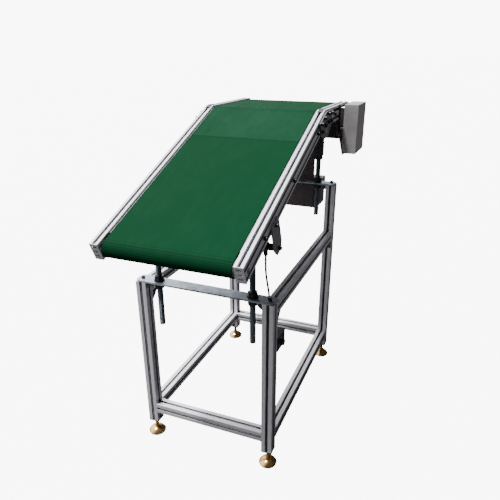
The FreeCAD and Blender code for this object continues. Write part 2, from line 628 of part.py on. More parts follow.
def front_hanger():
    left, right = "pivot_along - pivot_half_width", "pivot_along + pivot_half_width"
    top, end = "deck_rail_depth / 2 + 6", "pivot_depth + pivot_end"
    points = [on_incline(left, top), on_incline(right, top), on_incline(right, "pivot_depth - 10"),
              on_incline(f"{right} - 14", end), on_incline(f"{left} + 14", end),
              on_incline(left, "pivot_depth - 10")]
    plates, clamps = [], []
    for side, sign in SIDES.items():
        x = "half_deck" if sign == "1" else "-half_deck - pivot_thick"
        plates.append(slab(f"pivot_plate_{side}", "YZ_Plane", points, x, "pivot_thick"))
        middle = f"{sign} * rod_spread"
        low = (f"{middle} - clamp_half_width", "front_rod_y - clamp_wall", "bar_z - clamp_half_height")
        size = ("2 * clamp_half_width", "bar_y - front_rod_y + 2 * clamp_wall", "2 * clamp_half_height")
        block = box(f"clamp_{side}", low, size)
        rod_hole = rod(f"clamp_rod_hole_{side}", (middle, "front_rod_y", f"{low[2]} - 1"),
                       "rod_radius + fit_gap", "2 * clamp_half_height + 2", UP)
        bar_hole = rod(f"clamp_bar_hole_{side}", (f"{low[0]} - 1", "bar_y", "bar_z"), "bar_radius + fit_gap",
                       "2 * clamp_half_width + 2")
        clamps.append(cut(f"clamp_{side}_bored", block, rod_hole, bar_hole))
    side_screws("pivot_screw_upper", "half_deck + pivot_thick", *on_incline("pivot_along", "deck_rail_depth * 3 / 4"))
    side_screws("pivot_screw_lower", "half_deck + pivot_thick", "bar_y", "bar_z")
    node("pivot_plates", group("pivot_plate_set", plates))
    node("cross_clamps", group("clamp_set", clamps))
    node("front_cross_bar", rod("front_cross_bar", ("-half_deck", "bar_y", "bar_z"), "bar_radius", "deck_width"))


def rear_hanger():
    tall = "hanger_tall"
    channel = box("channel", ("-half_deck", "hanger_front", "hanger_low"), ("deck_width", "hanger_deep", tall))
    hollow = box("channel_hollow", ("-half_deck - 1", "hanger_front + hanger_wall", "hanger_low + hanger_wall"),
                 ("deck_width + 2", "hanger_deep", f"{tall} - 2 * hanger_wall"))
    node("rear_hanger", cut("rear_hanger", channel, hollow))
    drops, nuts = [], []
    for side, sign in SIDES.items():
        middle = f"{sign} * rod_spread"
        low = (f"{middle} - drop_wide / 2", "rear_rod_y - drop_deep / 2", "drop_low")
        block = box(f"drop_{side}", low, ("drop_wide", "drop_deep", "drop_tall"))
        hole = rod(f"drop_hole_{side}", (middle, "rear_rod_y", "drop_low - 1"), "rod_radius + fit_gap",
                   "rod_into_drop + 6", UP)
        drops.append(cut(f"drop_{side}_bored", block, hole))
        nuts.append(ring(f"drop_nut_{side}", hexagon, (middle, "rear_rod_y", "drop_low - nut_thick"),
                         "nut_radius", "nut_thick"))
        nuts.append(ring(f"clamp_nut_{side}", hexagon,
                         (middle, "front_rod_y", "bar_z - clamp_half_height - nut_thick"),
                         "nut_radius", "nut_thick"))
    node("drop_brackets", group("drop_set", drops))
    node("deck_nuts", group("deck_nut_set", nuts))


def support_rods():
    rods = []
    for corner, (x, y, top) in RODS.items():
        if corner.startswith("front"):
            low, high = f"{top} - rod_below_front", "bar_z + clamp_half_height + rod_above_clamp"
        else:
            low, high = f"{top} - rod_below_rear", "drop_low + rod_into_drop"
        rods.append(rod(f"support_rod_{corner}", (x, y, low), "rod_radius", f"{high} - ({low})", UP))
    node("support_rods", group("support_rod_set", rods))


def control_box():
    back = "hanger_back"
    panel = box("panel", ("-panel_half_width", back, "panel_low"),
                ("2 * panel_half_width", "panel_thick", "deck_top - under_deck - 5 - panel_low"))
    node("control_panel", panel)
    face = f"{back} + panel_thick"
    node("control_box", box("control_box", ("-box_left", face, "box_low"),
                            ("box_left + box_right", "box_deep", "box_tall")))
    node("control_box_lid", box("control_box_lid", ("-box_left - lid_over", face, "box_low + box_tall"),
                                ("box_left + box_right + 2 * lid_over", "box_deep + lid_over", "lid_tall")))


POSTS = [("guard_front + 23", "guard_top - 16"), ("guard_front + 23", "guard_top - 96"),
         ("head_axis_y - 16", "guard_low + 9"), ("head_axis_y + 10", "guard_low + 45")]


def drive_unit():
    points = [("guard_front + 12", "deck_top - 3"), ("guard_back - 4", "deck_top - 3"),
              ("guard_back - 4", "guard_low + 27"), ("guard_back - 36", "guard_low - 28"),
              ("guard_back - 50", "guard_low - 28"), ("guard_front + 35", "guard_low + 64"),
              ("guard_front + 12", "guard_low + 77")]
    holes = [("head_axis_y", "head_axis_z", "shaft_radius + 0.5"), ("motor_y", "motor_z", "motor_shaft + 2")]
    node("drive_plate", slab("drive_plate", "YZ_Plane", points, "half_deck", "drive_plate_thick", holes))
    side = "gearbox_side"
    blank = box("gearbox_blank", ("half_deck - gearbox_long", f"motor_y - {side} / 2", f"motor_z - {side} / 2"),
                ("gearbox_long", side, side))
    bore = rod("gearbox_bore", ("half_deck - 21", "motor_y", "motor_z"), "motor_shaft + fit_gap", "22")
    node("gearbox", cut("gearbox", blank, bore))
    node("motor", rod("motor", ("half_deck - gearbox_long - motor_long", "motor_y", "motor_z"),
                      "motor_radius", "motor_long"))
    posts = [rod(f"post_{index}", ("plate_x", y, z), "post_radius", "guard_gap")
             for index, (y, z) in enumerate(POSTS)]
    node("guard_posts", group("post_set", posts))
    shell = box("guard_shell", ("guard_x", "guard_front", "guard_low"),
                ("guard_wide", "guard_back - guard_front", "guard_top - guard_low"))
    wall = "guard_wall"
    inside = box("guard_inside", (f"guard_x + {wall}", f"guard_front + {wall}", f"guard_low + {wall}"),
                 (f"guard_wide - 2 * {wall}", f"guard_back - guard_front - 2 * {wall}",
                  f"guard_top - guard_low - 2 * {wall}"))
    window = box("guard_window", ("guard_x - 1", "motor_y - 32", "motor_z - 34"),
                 (f"{wall} + 2", f"guard_back - {wall} - motor_y + 32", f"guard_top - {wall} - motor_z + 34"))
    node("drive_guard", cut("drive_guard", shell, inside, window))
    DECK_SCREWS.extend(screw_head(f"post_screw_{index}", ("guard_x + guard_wall", y, z), ALONG_X)
                       for index, (y, z) in enumerate(POSTS))


def chain_band(name, over, x, width):
    """A closed band round both sprockets, a distance outside their pitch circles."""
    circles = (("drive", "head_axis_y", "head_axis_z", f"drive_pitch + ({over})"),
               ("motor", "motor_y", "motor_z", f"motor_pitch + ({over})"))
    span = "sqrt(motor_back ^ 2 + motor_drop ^ 2)"
    lean = "atan(motor_back / motor_drop) / 1 deg"
    spread = f"asin((drive_pitch - motor_pitch) / {span}) / 1 deg"
    points = []
    for turn in (f"{lean} + {spread}", f"180 + {lean} - {spread}"):
        pair = [(f"{y} - ({radius}) * cos({turn})", f"{z} + ({radius}) * sin({turn})")
                for _, y, z, radius in circles]
        points += pair if not points else pair[::-1]
    wheels = [rod(f"{name}_{tag}", (x, y, z), radius, width) for tag, y, z, radius in circles]
    return fuse(name, slab(f"{name}_span", "YZ_Plane", points, x, width), *wheels)


def sprocket(name, x, y, z, pitch, teeth):
    """Toothed wheel: a disc at the pitch circle with a gap cut between each pair of teeth."""
    rim = rod(f"{name}_rim", (f"{x} - sprocket_thick / 2", y, z), f"{pitch} + 2", "sprocket_thick")
    gaps = []
    for index in range(int(number(teeth))):
        turn = f"360 * {index} / {teeth}"
        gaps.append(rod(f"{name}_gap_{index}", (f"{x} - sprocket_thick / 2 - 1",
                                                f"{y} + ({pitch} + 0.6) * cos({turn})",
                                                f"{z} + ({pitch} + 0.6) * sin({turn})"),
                        "chain_pitch / 3", "sprocket_thick + 2"))
    return cut(name, rim, *gaps)


def chain_and_sprockets():
    x = "chain_x - chain_wide / 2"
    outer = chain_band("chain_outer", "chain_half", x, "chain_wide")
    inner = chain_band("chain_inner", "-chain_half", f"{x} - 1", "chain_wide + 2")
    groove = chain_band("chain_groove", "chain_half - 1.2", f"chain_x - sprocket_thick / 2 - 0.6",
                        "sprocket_thick + 1.2")
    node("drive_chain", cut("drive_chain", outer, inner, groove))
    wheel = sprocket("drive_wheel", "chain_x", "head_axis_y", "head_axis_z", "drive_pitch", "drive_teeth")
    bore = rod("drive_wheel_bore", ("chain_x - chain_wide", "head_axis_y", "head_axis_z"), "bearing_bore",
               "2 * chain_wide")
    node("drive_sprocket", cut("drive_sprocket", wheel, bore))
    wheel = sprocket("motor_wheel", "chain_x", "motor_y", "motor_z", "motor_pitch", "motor_teeth")
    shaft = rod("motor_shaft_bar", ("half_deck - 20", "motor_y", "motor_z"), "motor_shaft",
                "drive_plate_thick + chain_line + shaft_past_chain + 20")
    node("motor_sprocket", fuse("motor_sprocket", wheel, shaft))


def rollers():
    tail = on_incline("tail_reach", "roller_depth")
    shaft_reach = "half_deck - shaft_short"
    body = rod("tail_tube", ("-belt_width / 2", *tail), "roller_radius - roller_gap", "belt_width")
    shaft = rod("tail_shaft", (f"-({shaft_reach})", *tail), "shaft_radius", f"2 * ({shaft_reach})")
    node("tail_roller", fuse("tail_roller", body, shaft))
    head = ("head_axis_y", "head_axis_z")
    body = rod("drive_tube", ("-belt_width / 2", *head), "roller_radius - roller_gap", "belt_width")
    shaft = rod("drive_shaft", (f"-({shaft_reach})", *head), "shaft_radius",
                f"{shaft_reach} + chain_x + shaft_past_chain")
    node("drive_roller", fuse("drive_roller", body, shaft))
    axis = ("return_y", "return_z")
    body = rod("return_tube", ("-belt_width / 2", *axis), "return_radius - roller_gap", "belt_width")
    shaft = rod("return_shaft_bar", ("-half_deck - knee_plate_thick", *axis), "return_shaft",
                "deck_width + 2 * knee_plate_thick")
    node("return_roller", fuse("return_roller", body, shaft))


def speed_controller():
    low = ("controller_x", "profile", "controller_low")
    case = box("case_blank", low, ("controller_wide", "controller_deep", "controller_tall"))
    face = "controller_x + controller_wide"
    knob_y, knob_z = "profile + controller_deep * 0.36", "controller_low + controller_tall / 2"
    switch_y, switch_z = "profile + controller_deep * 0.78", "controller_low + controller_tall / 2"
    knob_hole = rod("knob_hole", (f"{face} - 9", knob_y, knob_z), "knob_shaft + fit_gap", "10")
    pocket = box("switch_pocket", (f"{face} - switch_deep", f"{switch_y} - switch_wide / 2 - 0.5",
                                   f"{switch_z} - switch_tall / 2 - 3"),
                 ("switch_deep + 1", "switch_wide + 1", "switch_tall + 6"))
    gland = rod("controller_gland", ("controller_x + gland_in_x", "profile + gland_in_y",
                                     "controller_low + controller_tall"), "gland_radius", "gland_long", UP)
    node("controller_case", cut("controller_case", fuse("case_body", case, gland), knob_hole, pocket))
    grip = rod("knob_grip", (f"{face} + 0.3", knob_y, knob_z), "knob_radius", "knob_long")
    stem = rod("knob_stem", (f"{face} - 8", knob_y, knob_z), "knob_shaft", "10")
    mark = box("knob_mark", (f"{face} + knob_long - 0.7", f"{knob_y} - 0.8", knob_z), ("3", "1.6", "knob_radius - 1"))
    node("controller_knob", cut("controller_knob", fuse("knob_body", grip, stem), mark))
    pin_x, half = f"{face} - 3", "switch_tall / 2"
    rocker = slab("rocker_plate", "XZ_Plane",
                  [(f"{face} - 4", f"{switch_z} - {half}"), (f"{face} + 2.6", f"{switch_z} - {half}"),
                   (f"{face} - 0.6", switch_z), (f"{face} + 0.6", f"{switch_z} + {half}"),
                   (f"{face} - 5", f"{switch_z} + {half}")], f"{switch_y} - switch_wide / 2", "switch_wide")
    pivot = rod("rocker_pin", (pin_x, f"{switch_y} - switch_wide / 2 - 0.5", switch_z), "1.5", "switch_wide + 1",
                ALONG_Y)
    node("controller_switch", fuse("controller_switch", rocker, pivot))


# The control cable hangs from its clip on the front cross bar to the speed controller's top gland.
CABLE_ROUTE = [(203, 50.57, 795), (203, 50.57, 762), (203, 54, 730), (204, 63, 698), (203, 79, 664),
               (201, 93, 630), (203, 98, 597), (210, 94, 567), (213, 90, 546), (213, 90, 526)]
CABLE_TOLERANCE = 0.01


def cable_path(points):
    """Straight runs joined by tangent arcs, each arc as large as its two runs allow."""
    edges = []
    start = points[0]
    for before, corner, after in zip(points, points[1:], points[2:]):
        back, ahead = before - corner, after - corner
        half = (math.pi - back.getAngle(ahead)) / 2
        reach = 0.45 * min(back.Length, ahead.Length)
        radius = reach / math.tan(half)
        first = corner + back.normalize() * reach
        last = corner + ahead.normalize() * reach
        inward = ((first + last) * 0.5 - corner).normalize()
        centre = corner + inward * (radius / math.cos(half))
        edges.append(Part.LineSegment(start, first).toShape())
        edges.append(Part.Arc(first, centre - inward * radius, last).toShape())
        print(f"cable radius {radius:.0f} mm, turn {math.degrees(2 * half):.0f} degrees")
        start = last
    edges.append(Part.LineSegment(start, points[-1]).toShape())
    return Part.Wire(edges)


def cable():
    points = [FreeCAD.Vector(*point) for point in CABLE_ROUTE]
    path = cable_path(points)
    radius = sheet.cable_radius
    ring_edge = Part.Circle(points[0], points[1] - points[0], radius).toShape()
    tube = path.makePipeShell([Part.Wire(ring_edge)], True, True)
    full = math.pi * radius ** 2 * path.Length
    if abs(tube.Volume - full) > CABLE_TOLERANCE * full:
        raise ValueError(f"cable volume {tube.Volume:.0f}, section times length {full:.0f}")
    print(f"cable length {path.Length:.0f} mm")
    item = doc.addObject("Part::Feature", "control_cable")
    item.Shape = tube
    node("control_cable", item)
    collar = rod("clip_collar", ("cable_x - clip_wide / 2", "bar_y", "bar_z"), "bar_radius + clip_wall",
                 "clip_wide")
    stem = rod("clip_stem", ("cable_x", "bar_y", "cable_top"), "gland_radius", "bar_z - cable_top", UP)
    bore = rod("clip_bore", ("cable_x - clip_wide", "bar_y", "bar_z"), "bar_radius + fit_gap", "2 * clip_wide")
    node("cable_clip", cut("cable_clip", fuse("clip_body", collar, stem), bore))


def build():
    stand_frame()
    corner_brackets()
    groove_connectors()
    levelling_feet()
    cross_plates()
    side_rails()
    belt_and_bed()
    tie_bars()
    knee_joints()
    front_hanger()
    rear_hanger()
    support_rods()
    control_box()
    drive_unit()
    chain_and_sprockets()
    rollers()
    speed_controller()
    cable()
    node("deck_screws", group("deck_screw_set", DECK_SCREWS))
    doc.recompute()


def write():
    for item in doc.Objects:
        if {"Invalid", "Error"} & set(item.State):
            raise ValueError(f"{item.Label} failed: {item.State}")
    for label, item in NODES.items():
        if item.Label != label or item.Shape.isNull() or not item.Shape.isValid():
            raise ValueError(f"{label} has no valid shape")
    os.makedirs("parts", exist_ok=True)
    for label, item in NODES.items():
        item.Shape.exportStep(os.path.join("parts", label + ".step"))
    print(f"{len(NODES)} sub-parts")


build()
write()
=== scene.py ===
"""Finishes, small fittings, cable, lights and camera for an inclined belt conveyor section."""

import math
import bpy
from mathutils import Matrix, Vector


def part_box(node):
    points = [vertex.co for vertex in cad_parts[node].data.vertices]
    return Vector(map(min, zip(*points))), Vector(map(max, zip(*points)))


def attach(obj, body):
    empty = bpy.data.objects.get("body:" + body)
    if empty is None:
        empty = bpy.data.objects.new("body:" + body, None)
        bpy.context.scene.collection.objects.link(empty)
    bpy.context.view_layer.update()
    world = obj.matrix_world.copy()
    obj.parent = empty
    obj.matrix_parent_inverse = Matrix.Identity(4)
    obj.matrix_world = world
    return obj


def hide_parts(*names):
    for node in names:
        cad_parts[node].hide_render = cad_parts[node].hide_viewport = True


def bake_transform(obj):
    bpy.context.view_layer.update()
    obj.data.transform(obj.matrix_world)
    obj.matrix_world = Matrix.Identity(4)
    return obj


bl_info = {
    "name": "Inclined Belt Conveyor Finishes",
    "version": (1, 0, 0),
    "blender": (4, 5, 0),
    "location": "View3D > Sidebar > Conveyor",
    "description": "Gives an inclined belt conveyor its finishes, screws, motor, cable and studio",
    "category": "Object",
}

import bmesh
import bpy
from bpy.props import BoolProperty, FloatProperty, FloatVectorProperty, IntProperty, PointerProperty
from mathutils import Matrix, Vector

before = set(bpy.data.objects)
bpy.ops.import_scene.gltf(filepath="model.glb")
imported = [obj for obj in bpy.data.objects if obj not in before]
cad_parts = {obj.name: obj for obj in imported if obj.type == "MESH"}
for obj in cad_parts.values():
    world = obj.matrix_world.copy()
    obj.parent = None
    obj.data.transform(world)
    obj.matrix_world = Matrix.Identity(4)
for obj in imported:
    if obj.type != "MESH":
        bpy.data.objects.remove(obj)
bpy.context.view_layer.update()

# ---------------------------------------------------------------- places read from the frame

INCLINE = math.radians(22)


def corners(node):
    """Lowest and highest corner of a frame part, at rest."""
    return [Vector(corner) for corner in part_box(node)]


RAIL_LOW, RAIL_HIGH = corners("incline_rail_right")
HEAD_LOW, HEAD_HIGH = corners("head_rail_right")
MOTOR_LOW, MOTOR_HIGH = corners("motor")
CASE_LOW, CASE_HIGH = corners("controller_case")
KNOB_LOW, KNOB_HIGH = corners("controller_knob")
SWITCH_LOW, SWITCH_HIGH = corners("controller_switch")
BOX_LOW, BOX_HIGH = corners("control_box")
LID_LOW, LID_HIGH = corners("control_box_lid")
BELT_LOW, BELT_HIGH = corners("belt")

# Where the slope meets the level part, and where the rubbed stretch of the belt ends and how long it is.
KNEE_Y = HEAD_LOW.y
WEAR_END_Y = KNEE_Y - 0.0117
WEAR_LENGTH = 0.190

# The row frame's origin, from the front legs' face and the belt's middle.
ORIGIN = Vector((0.02875, 0.369292, 0.0))

SLOPE_UP = Vector((0, -math.sin(INCLINE), math.cos(INCLINE)))
GROOVE_HALF = 0.0046
GROOVE_FADE = 0.0005


def from_corner(x, y, z):
    """A point given from the front legs' face and the belt's middle, in millimetres, in the row frame."""
    return Vector((x, y, z)) / 1000 - ORIGIN


# ---------------------------------------------------------------- settings a user would change


class ConveyorFinishSettings(bpy.types.PropertyGroup):
    """Colours of the conveyor's finishes."""

    belt_green: FloatVectorProperty(
        name="Belt", description="Colour of the belt's cover", subtype="COLOR", size=4, min=0, max=1,
        default=(0.0010, 0.026, 0.0095, 1))
    belt_worn: FloatVectorProperty(
        name="Worn belt", description="Colour where the belt's cover is rubbed", subtype="COLOR", size=4,
        min=0, max=1, default=(0.0036, 0.036, 0.0160, 1))
    anodised: FloatVectorProperty(
        name="Profile", description="Colour of the anodised profile", subtype="COLOR", size=4, min=0, max=1,
        default=(0.68, 0.68, 0.73, 1))
    galvanised: FloatVectorProperty(
        name="Cross plates", description="Colour of the zinc-coated plates", subtype="COLOR", size=4,
        min=0, max=1, default=(0.25, 0.28, 0.33, 1))
    zinc_yellow: FloatVectorProperty(
        name="Feet", description="Colour of the yellow zinc on the feet", subtype="COLOR", size=4, min=0,
        max=1, default=(0.60, 0.30, 0.09, 1))
    black_finish: FloatVectorProperty(
        name="Black fittings", description="Colour of the black fittings", subtype="COLOR", size=4, min=0,
        max=1, default=(0.020, 0.020, 0.023, 1))
    box_paint: FloatVectorProperty(
        name="Control box", description="Colour of the control box's paint", subtype="COLOR", size=4, min=0,
        max=1, default=(0.045, 0.030, 0.032, 1))
    guard_sheet: FloatVectorProperty(
        name="Guard", description="Colour of the drive guard's sheet", subtype="COLOR", size=4, min=0,
        max=1, default=(0.47, 0.45, 0.46, 1))


class ConveyorFittingSettings(bpy.types.PropertyGroup):
    """Sizes of the small fittings that are added to the frame."""

    screw_radius: FloatProperty(
        name="Bracket screw", description="Radius of a bracket screw's head", unit="LENGTH", default=0.0062,
        min=0.002, max=0.02)
    screw_height: FloatProperty(
        name="Screw head", description="Height of a bracket screw's head", unit="LENGTH", default=0.0045,
        min=0.001, max=0.02)
    fin_count: IntProperty(
        name="Motor fins", description="Number of cooling fins round the motor", default=28, min=8, max=60)
    fin_depth: FloatProperty(
        name="Fin depth", description="Depth of a cooling fin", unit="LENGTH", default=0.0045, min=0.001,
        max=0.01)
    knob_flutes: IntProperty(
        name="Knob grips", description="Number of grips round the speed knob", default=20, min=6, max=48)
    plate_thick: FloatProperty(
        name="End plate", description="Thickness of the plates on the rails' tail ends", unit="LENGTH",
        default=0.0015, min=0.0005, max=0.004)
    plate_gap: FloatProperty(
        name="End plate gap", description="Gap between an end plate and its rail", unit="LENGTH",
        default=0.0001, min=0, max=0.001)
    cable_radius: FloatProperty(
        name="Cable", description="Radius of the control cable", unit="LENGTH", default=0.0035, min=0.001,
        max=0.01)
    cable_sides: IntProperty(
        name="Cable sides", description="Number of sides round the cable", default=14, min=6, max=32)


class ConveyorStageSettings(bpy.types.PropertyGroup):
    """The floor, the lights and the camera."""

    camera_lens: FloatProperty(
        name="Lens", description="Focal length of the camera", unit="CAMERA", default=35.65, min=10, max=200)
    camera_turn: FloatProperty(
        name="Turn", description="How far round the camera stands from the tail", subtype="ANGLE",
        default=math.radians(21.16))
    camera_tilt: FloatProperty(
        name="Tilt", description="How far the camera looks down", subtype="ANGLE",
        default=math.radians(23.04))
    camera_roll: FloatProperty(
        name="Roll", description="How far the camera leans", subtype="ANGLE", default=math.radians(0.19))
    sun_strength: FloatProperty(
        name="Sun", description="Strength of the light from above", default=9.0, min=0)
    sun_softness: FloatProperty(
        name="Sun softness", description="How wide the light from above looks", subtype="ANGLE",
        default=math.radians(6))
    sky_bright: FloatProperty(
        name="Bright sky", description="Strength of the studio's bright side", default=4.0, min=0)
    sky_dim: FloatProperty(
        name="Dim sky", description="Strength of the studio's dim side", default=0.06, min=0)
    paper_glow: FloatProperty(
        name="Paper", description="How bright the floor and the backdrop look", default=8.5, min=0)
    paper_lift: FloatProperty(
        name="Backdrop", description="How much brighter than the floor the backdrop looks", default=0.5,
        min=0)
    floor_shown: BoolProperty(name="Floor", description="Put the conveyor on a pale floor", default=True)
    floor_colour: FloatVectorProperty(
        name="Floor colour", description="Colour of the floor", subtype="COLOR", size=4, min=0, max=1,
        default=(0.04, 0.04, 0.04, 1))


def finishes():
    return bpy.context.scene.conveyor_finishes


def fittings():
    return bpy.context.scene.conveyor_fittings


# ---------------------------------------------------------------- material building


CLOUD_ROUGHNESS = 0.6


class Finish:
    """One material under construction: its shader, its coordinates and the nodes that vary it."""

    def __init__(self, name, roughness, metallic=0.0, **sockets):
        self.material = bpy.data.materials.new(name)
        self.material.use_nodes = True
        self.nodes = self.material.node_tree.nodes
        self.links = self.material.node_tree.links
        self.shader = self.nodes["Principled BSDF"]
        self.shader.inputs["Metallic"].default_value = metallic
        self.shader.inputs["Roughness"].default_value = roughness
        for socket, value in sockets.items():
            self.shader.inputs[socket.replace("_", " ")].default_value = value
        self.place = self.nodes.new("ShaderNodeTexCoord").outputs["Object"]

    def stretched(self, scale, turn=(0, 0, 0)):
        mapping = self.nodes.new("ShaderNodeMapping")
        mapping.vector_type = "POINT"
        mapping.inputs["Scale"].default_value = scale
        mapping.inputs["Rotation"].default_value = turn
        self.links.new(self.place, mapping.inputs["Vector"])
        return mapping.outputs["Vector"]

    def clouds(self, scale, detail=4, coordinates=None):
        noise = self.nodes.new("ShaderNodeTexNoise")
        noise.inputs["Scale"].default_value = scale
        noise.inputs["Detail"].default_value = detail
        noise.inputs["Roughness"].default_value = CLOUD_ROUGHNESS
        self.links.new(coordinates or self.place, noise.inputs["Vector"])
        return noise.outputs["Fac"]

    def cells(self, scale):
        voronoi = self.nodes.new("ShaderNodeTexVoronoi")
        voronoi.inputs["Scale"].default_value = scale
        self.links.new(self.place, voronoi.inputs["Vector"])
        return voronoi

    def stripes(self, period, axis, coordinates=None):
        wave = self.nodes.new("ShaderNodeTexWave")
        wave.bands_direction = axis
        wave.inputs["Scale"].default_value = 2 * math.pi / (20 * period)
        wave.inputs["Distortion"].default_value = 0
        self.links.new(coordinates or self.place, wave.inputs["Vector"])
        return wave.outputs["Fac"]

    def along(self, axis):
        split = self.nodes.new("ShaderNodeSeparateXYZ")
        self.links.new(self.place, split.inputs["Vector"])
        return split.outputs[axis]

    def off_slope(self):
        """Height above the plane of the sloping rails' top faces, square to the slope."""
        dot = self.nodes.new("ShaderNodeVectorMath")
        dot.operation = "DOT_PRODUCT"
        dot.inputs[1].default_value = SLOPE_UP
        self.links.new(self.place, dot.inputs[0])
        return self.sum(dot.outputs["Value"], -SLOPE_UP.dot(Vector((0, KNEE_Y, HEAD_HIGH.z))))

    def ramp(self, source, low, high, start=0.0, end=1.0):
        """source mapped from start..end to low..high."""
        node = self.nodes.new("ShaderNodeMapRange")
        node.inputs["From Min"].default_value = start
        node.inputs["From Max"].default_value = end
        node.inputs["To Min"].default_value = low
        node.inputs["To Max"].default_value = high
        self.links.new(source, node.inputs["Value"])
        return node.outputs["Result"]

    def combine(self, operation, first, second):
        node = self.nodes.new("ShaderNodeMath")
        node.operation = operation
        self.links.new(first, node.inputs[0])
        if hasattr(second, "links"):
            self.links.new(second, node.inputs[1])
        else:
            node.inputs[1].default_value = second
        return node.outputs[0]

    def sum(self, first, second):
        return self.combine("ADD", first, second)

    def times(self, first, second):
        return self.combine("MULTIPLY", first, second)

    def mix(self, factor, first, second):
        """Colour from first to second as factor goes from 0 to 1."""
        node = self.nodes.new("ShaderNodeMix")
        node.data_type = "RGBA"
        self.links.new(factor, node.inputs["Factor"])
        for socket, colour in ((node.inputs[6], first), (node.inputs[7], second)):
            if hasattr(colour, "links"):
                self.links.new(colour, socket)
            else:
                socket.default_value = colour
        return node.outputs[2]

    def colour(self, output):
        self.links.new(output, self.shader.inputs["Base Color"])

    def roughness(self, output):
        self.links.new(output, self.shader.inputs["Roughness"])

    def relief(self, height, distance, strength=1.0):
        bump = self.nodes.new("ShaderNodeBump")
        bump.inputs["Distance"].default_value = distance
        bump.inputs["Strength"].default_value = strength
        self.links.new(height, bump.inputs["Height"])
        self.links.new(bump.outputs["Normal"], self.shader.inputs["Normal"])


def shade(colour, factor):
    return tuple(channel * factor for channel in colour[:3]) + (1.0,)


EXTRUSION_GRAIN = {
    "across": ((6, 900, 900), (0, 0, 0)),
    "lengthwise": ((900, 6, 900), (0, 0, 0)),
    "level": ((900, 6, 900), (0, 0, 0)),
    "upright": ((900, 900, 6), (0, 0, 0)),
    "sloping": ((900, 6, 900), (-INCLINE, 0, 0)),
}


def in_grooves(finish, bars, rows):
    """Mask for the painted shade in the grooves: 1 inside the grooves of the bars, 0 on their faces.

    rows gives, for each axis, how far the grooves lie from the bars' middles, or from the slope's top face.
    """
    low_high = [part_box(bar) for bar in bars]
    mask = None
    for axis, offsets in rows.items():
        if axis == "slope":
            line, middles = finish.off_slope(), {0.0}
        else:
            number = "XYZ".index(axis)
            line = finish.along(axis)
            middles = {round((low[number] + high[number]) / 2, 5) for low, high in low_high}
        for place in sorted(middle + offset for middle in middles for offset in offsets):
            apart = finish.combine("ABSOLUTE", finish.sum(line, -place), 0)
            groove = finish.ramp(apart, 1, 0, GROOVE_HALF, GROOVE_HALF + GROOVE_FADE)
            mask = groove if mask is None else finish.combine("MAXIMUM", mask, groove)
    return mask


def anodised_profile(direction, bars, rows):
    """Satin anodised profile: fine drawing lines along the bar, faint streaks, and painted shade, with some
    dust, darkening its grooves.
    """
    base = tuple(finishes().anodised)
    finish = Finish(f"anodised_profile_{direction}", roughness=0.34, metallic=0.6)
    grooves = in_grooves(finish, bars, rows)
    scale, turn = EXTRUSION_GRAIN[direction]
    lines = finish.clouds(1, 3, finish.stretched(scale, turn))
    streaks = finish.clouds(1, 2, finish.stretched(tuple(size / 6 for size in scale), turn))
    smears = finish.clouds(14, 5)
    tone = finish.sum(finish.ramp(lines, -0.10, 0.10), finish.ramp(streaks, 0.35, 0.65))
    tone = finish.sum(tone, finish.ramp(smears, -0.04, 0.04))
    metal = finish.mix(tone, shade(base, 0.84), shade(base, 1.14))
    # Painted shade: the grooves are darkened nearly to black and made less metallic.
    finish.colour(finish.mix(finish.times(grooves, 0.9), metal, (0.020, 0.020, 0.024, 1)))
    finish.links.new(finish.ramp(grooves, 0.6, 0.1), finish.shader.inputs["Metallic"])
    finish.roughness(finish.sum(finish.ramp(smears, 0.33, 0.39, 0.3, 0.7), finish.ramp(lines, -0.04, 0.04)))
    finish.relief(lines, 0.00003, 0.4)
    return finish.material


def coated_black(name, roughness, metallic, speck, relief):
    """Black finish on steel or a casting, with a fine pimpled skin and rubbed, paler patches."""
    base = tuple(finishes().black_finish)
    finish = Finish(name, roughness, metallic)
    skin = finish.clouds(speck, 3)
    rub = finish.clouds(26, 6)
    worn = finish.ramp(rub, 0.0, 1.0, 0.62, 0.82)
    finish.colour(finish.mix(finish.sum(finish.ramp(skin, 0, 0.35), worn), base, shade(base, 3.2)))
    finish.roughness(finish.ramp(rub, roughness - 0.08, roughness + 0.14))
    finish.relief(skin, relief, 0.6)
    return finish.material


def galvanised_plate():
    """Zinc-coated plate: spangle cells, cloudy stains and a paler left end."""
    base = tuple(finishes().galvanised)
    finish = Finish("galvanised_plate", roughness=0.42, metallic=0.75)
    spangle = finish.cells(95)
    stain = finish.clouds(20, 6)
    tone = finish.sum(finish.ramp(spangle.outputs["Color"], -0.14, 0.14),
                      finish.ramp(stain, 0.0, 1.0, 0.3, 0.7))
    # Paler towards the plate's left end, towards -X.
    paler_left_end = finish.ramp(finish.along("X"), 0.42, 0.0, -0.26, -0.05)
    finish.colour(finish.mix(finish.sum(tone, paler_left_end), shade(base, 0.72), shade(base, 1.75)))
    finish.roughness(finish.ramp(spangle.outputs["Distance"], 0.34, 0.52, 0, 0.8))
    finish.relief(finish.sum(stain, finish.ramp(spangle.outputs["Distance"], 0, 0.3)), 0.00012, 0.5)
    return finish.material


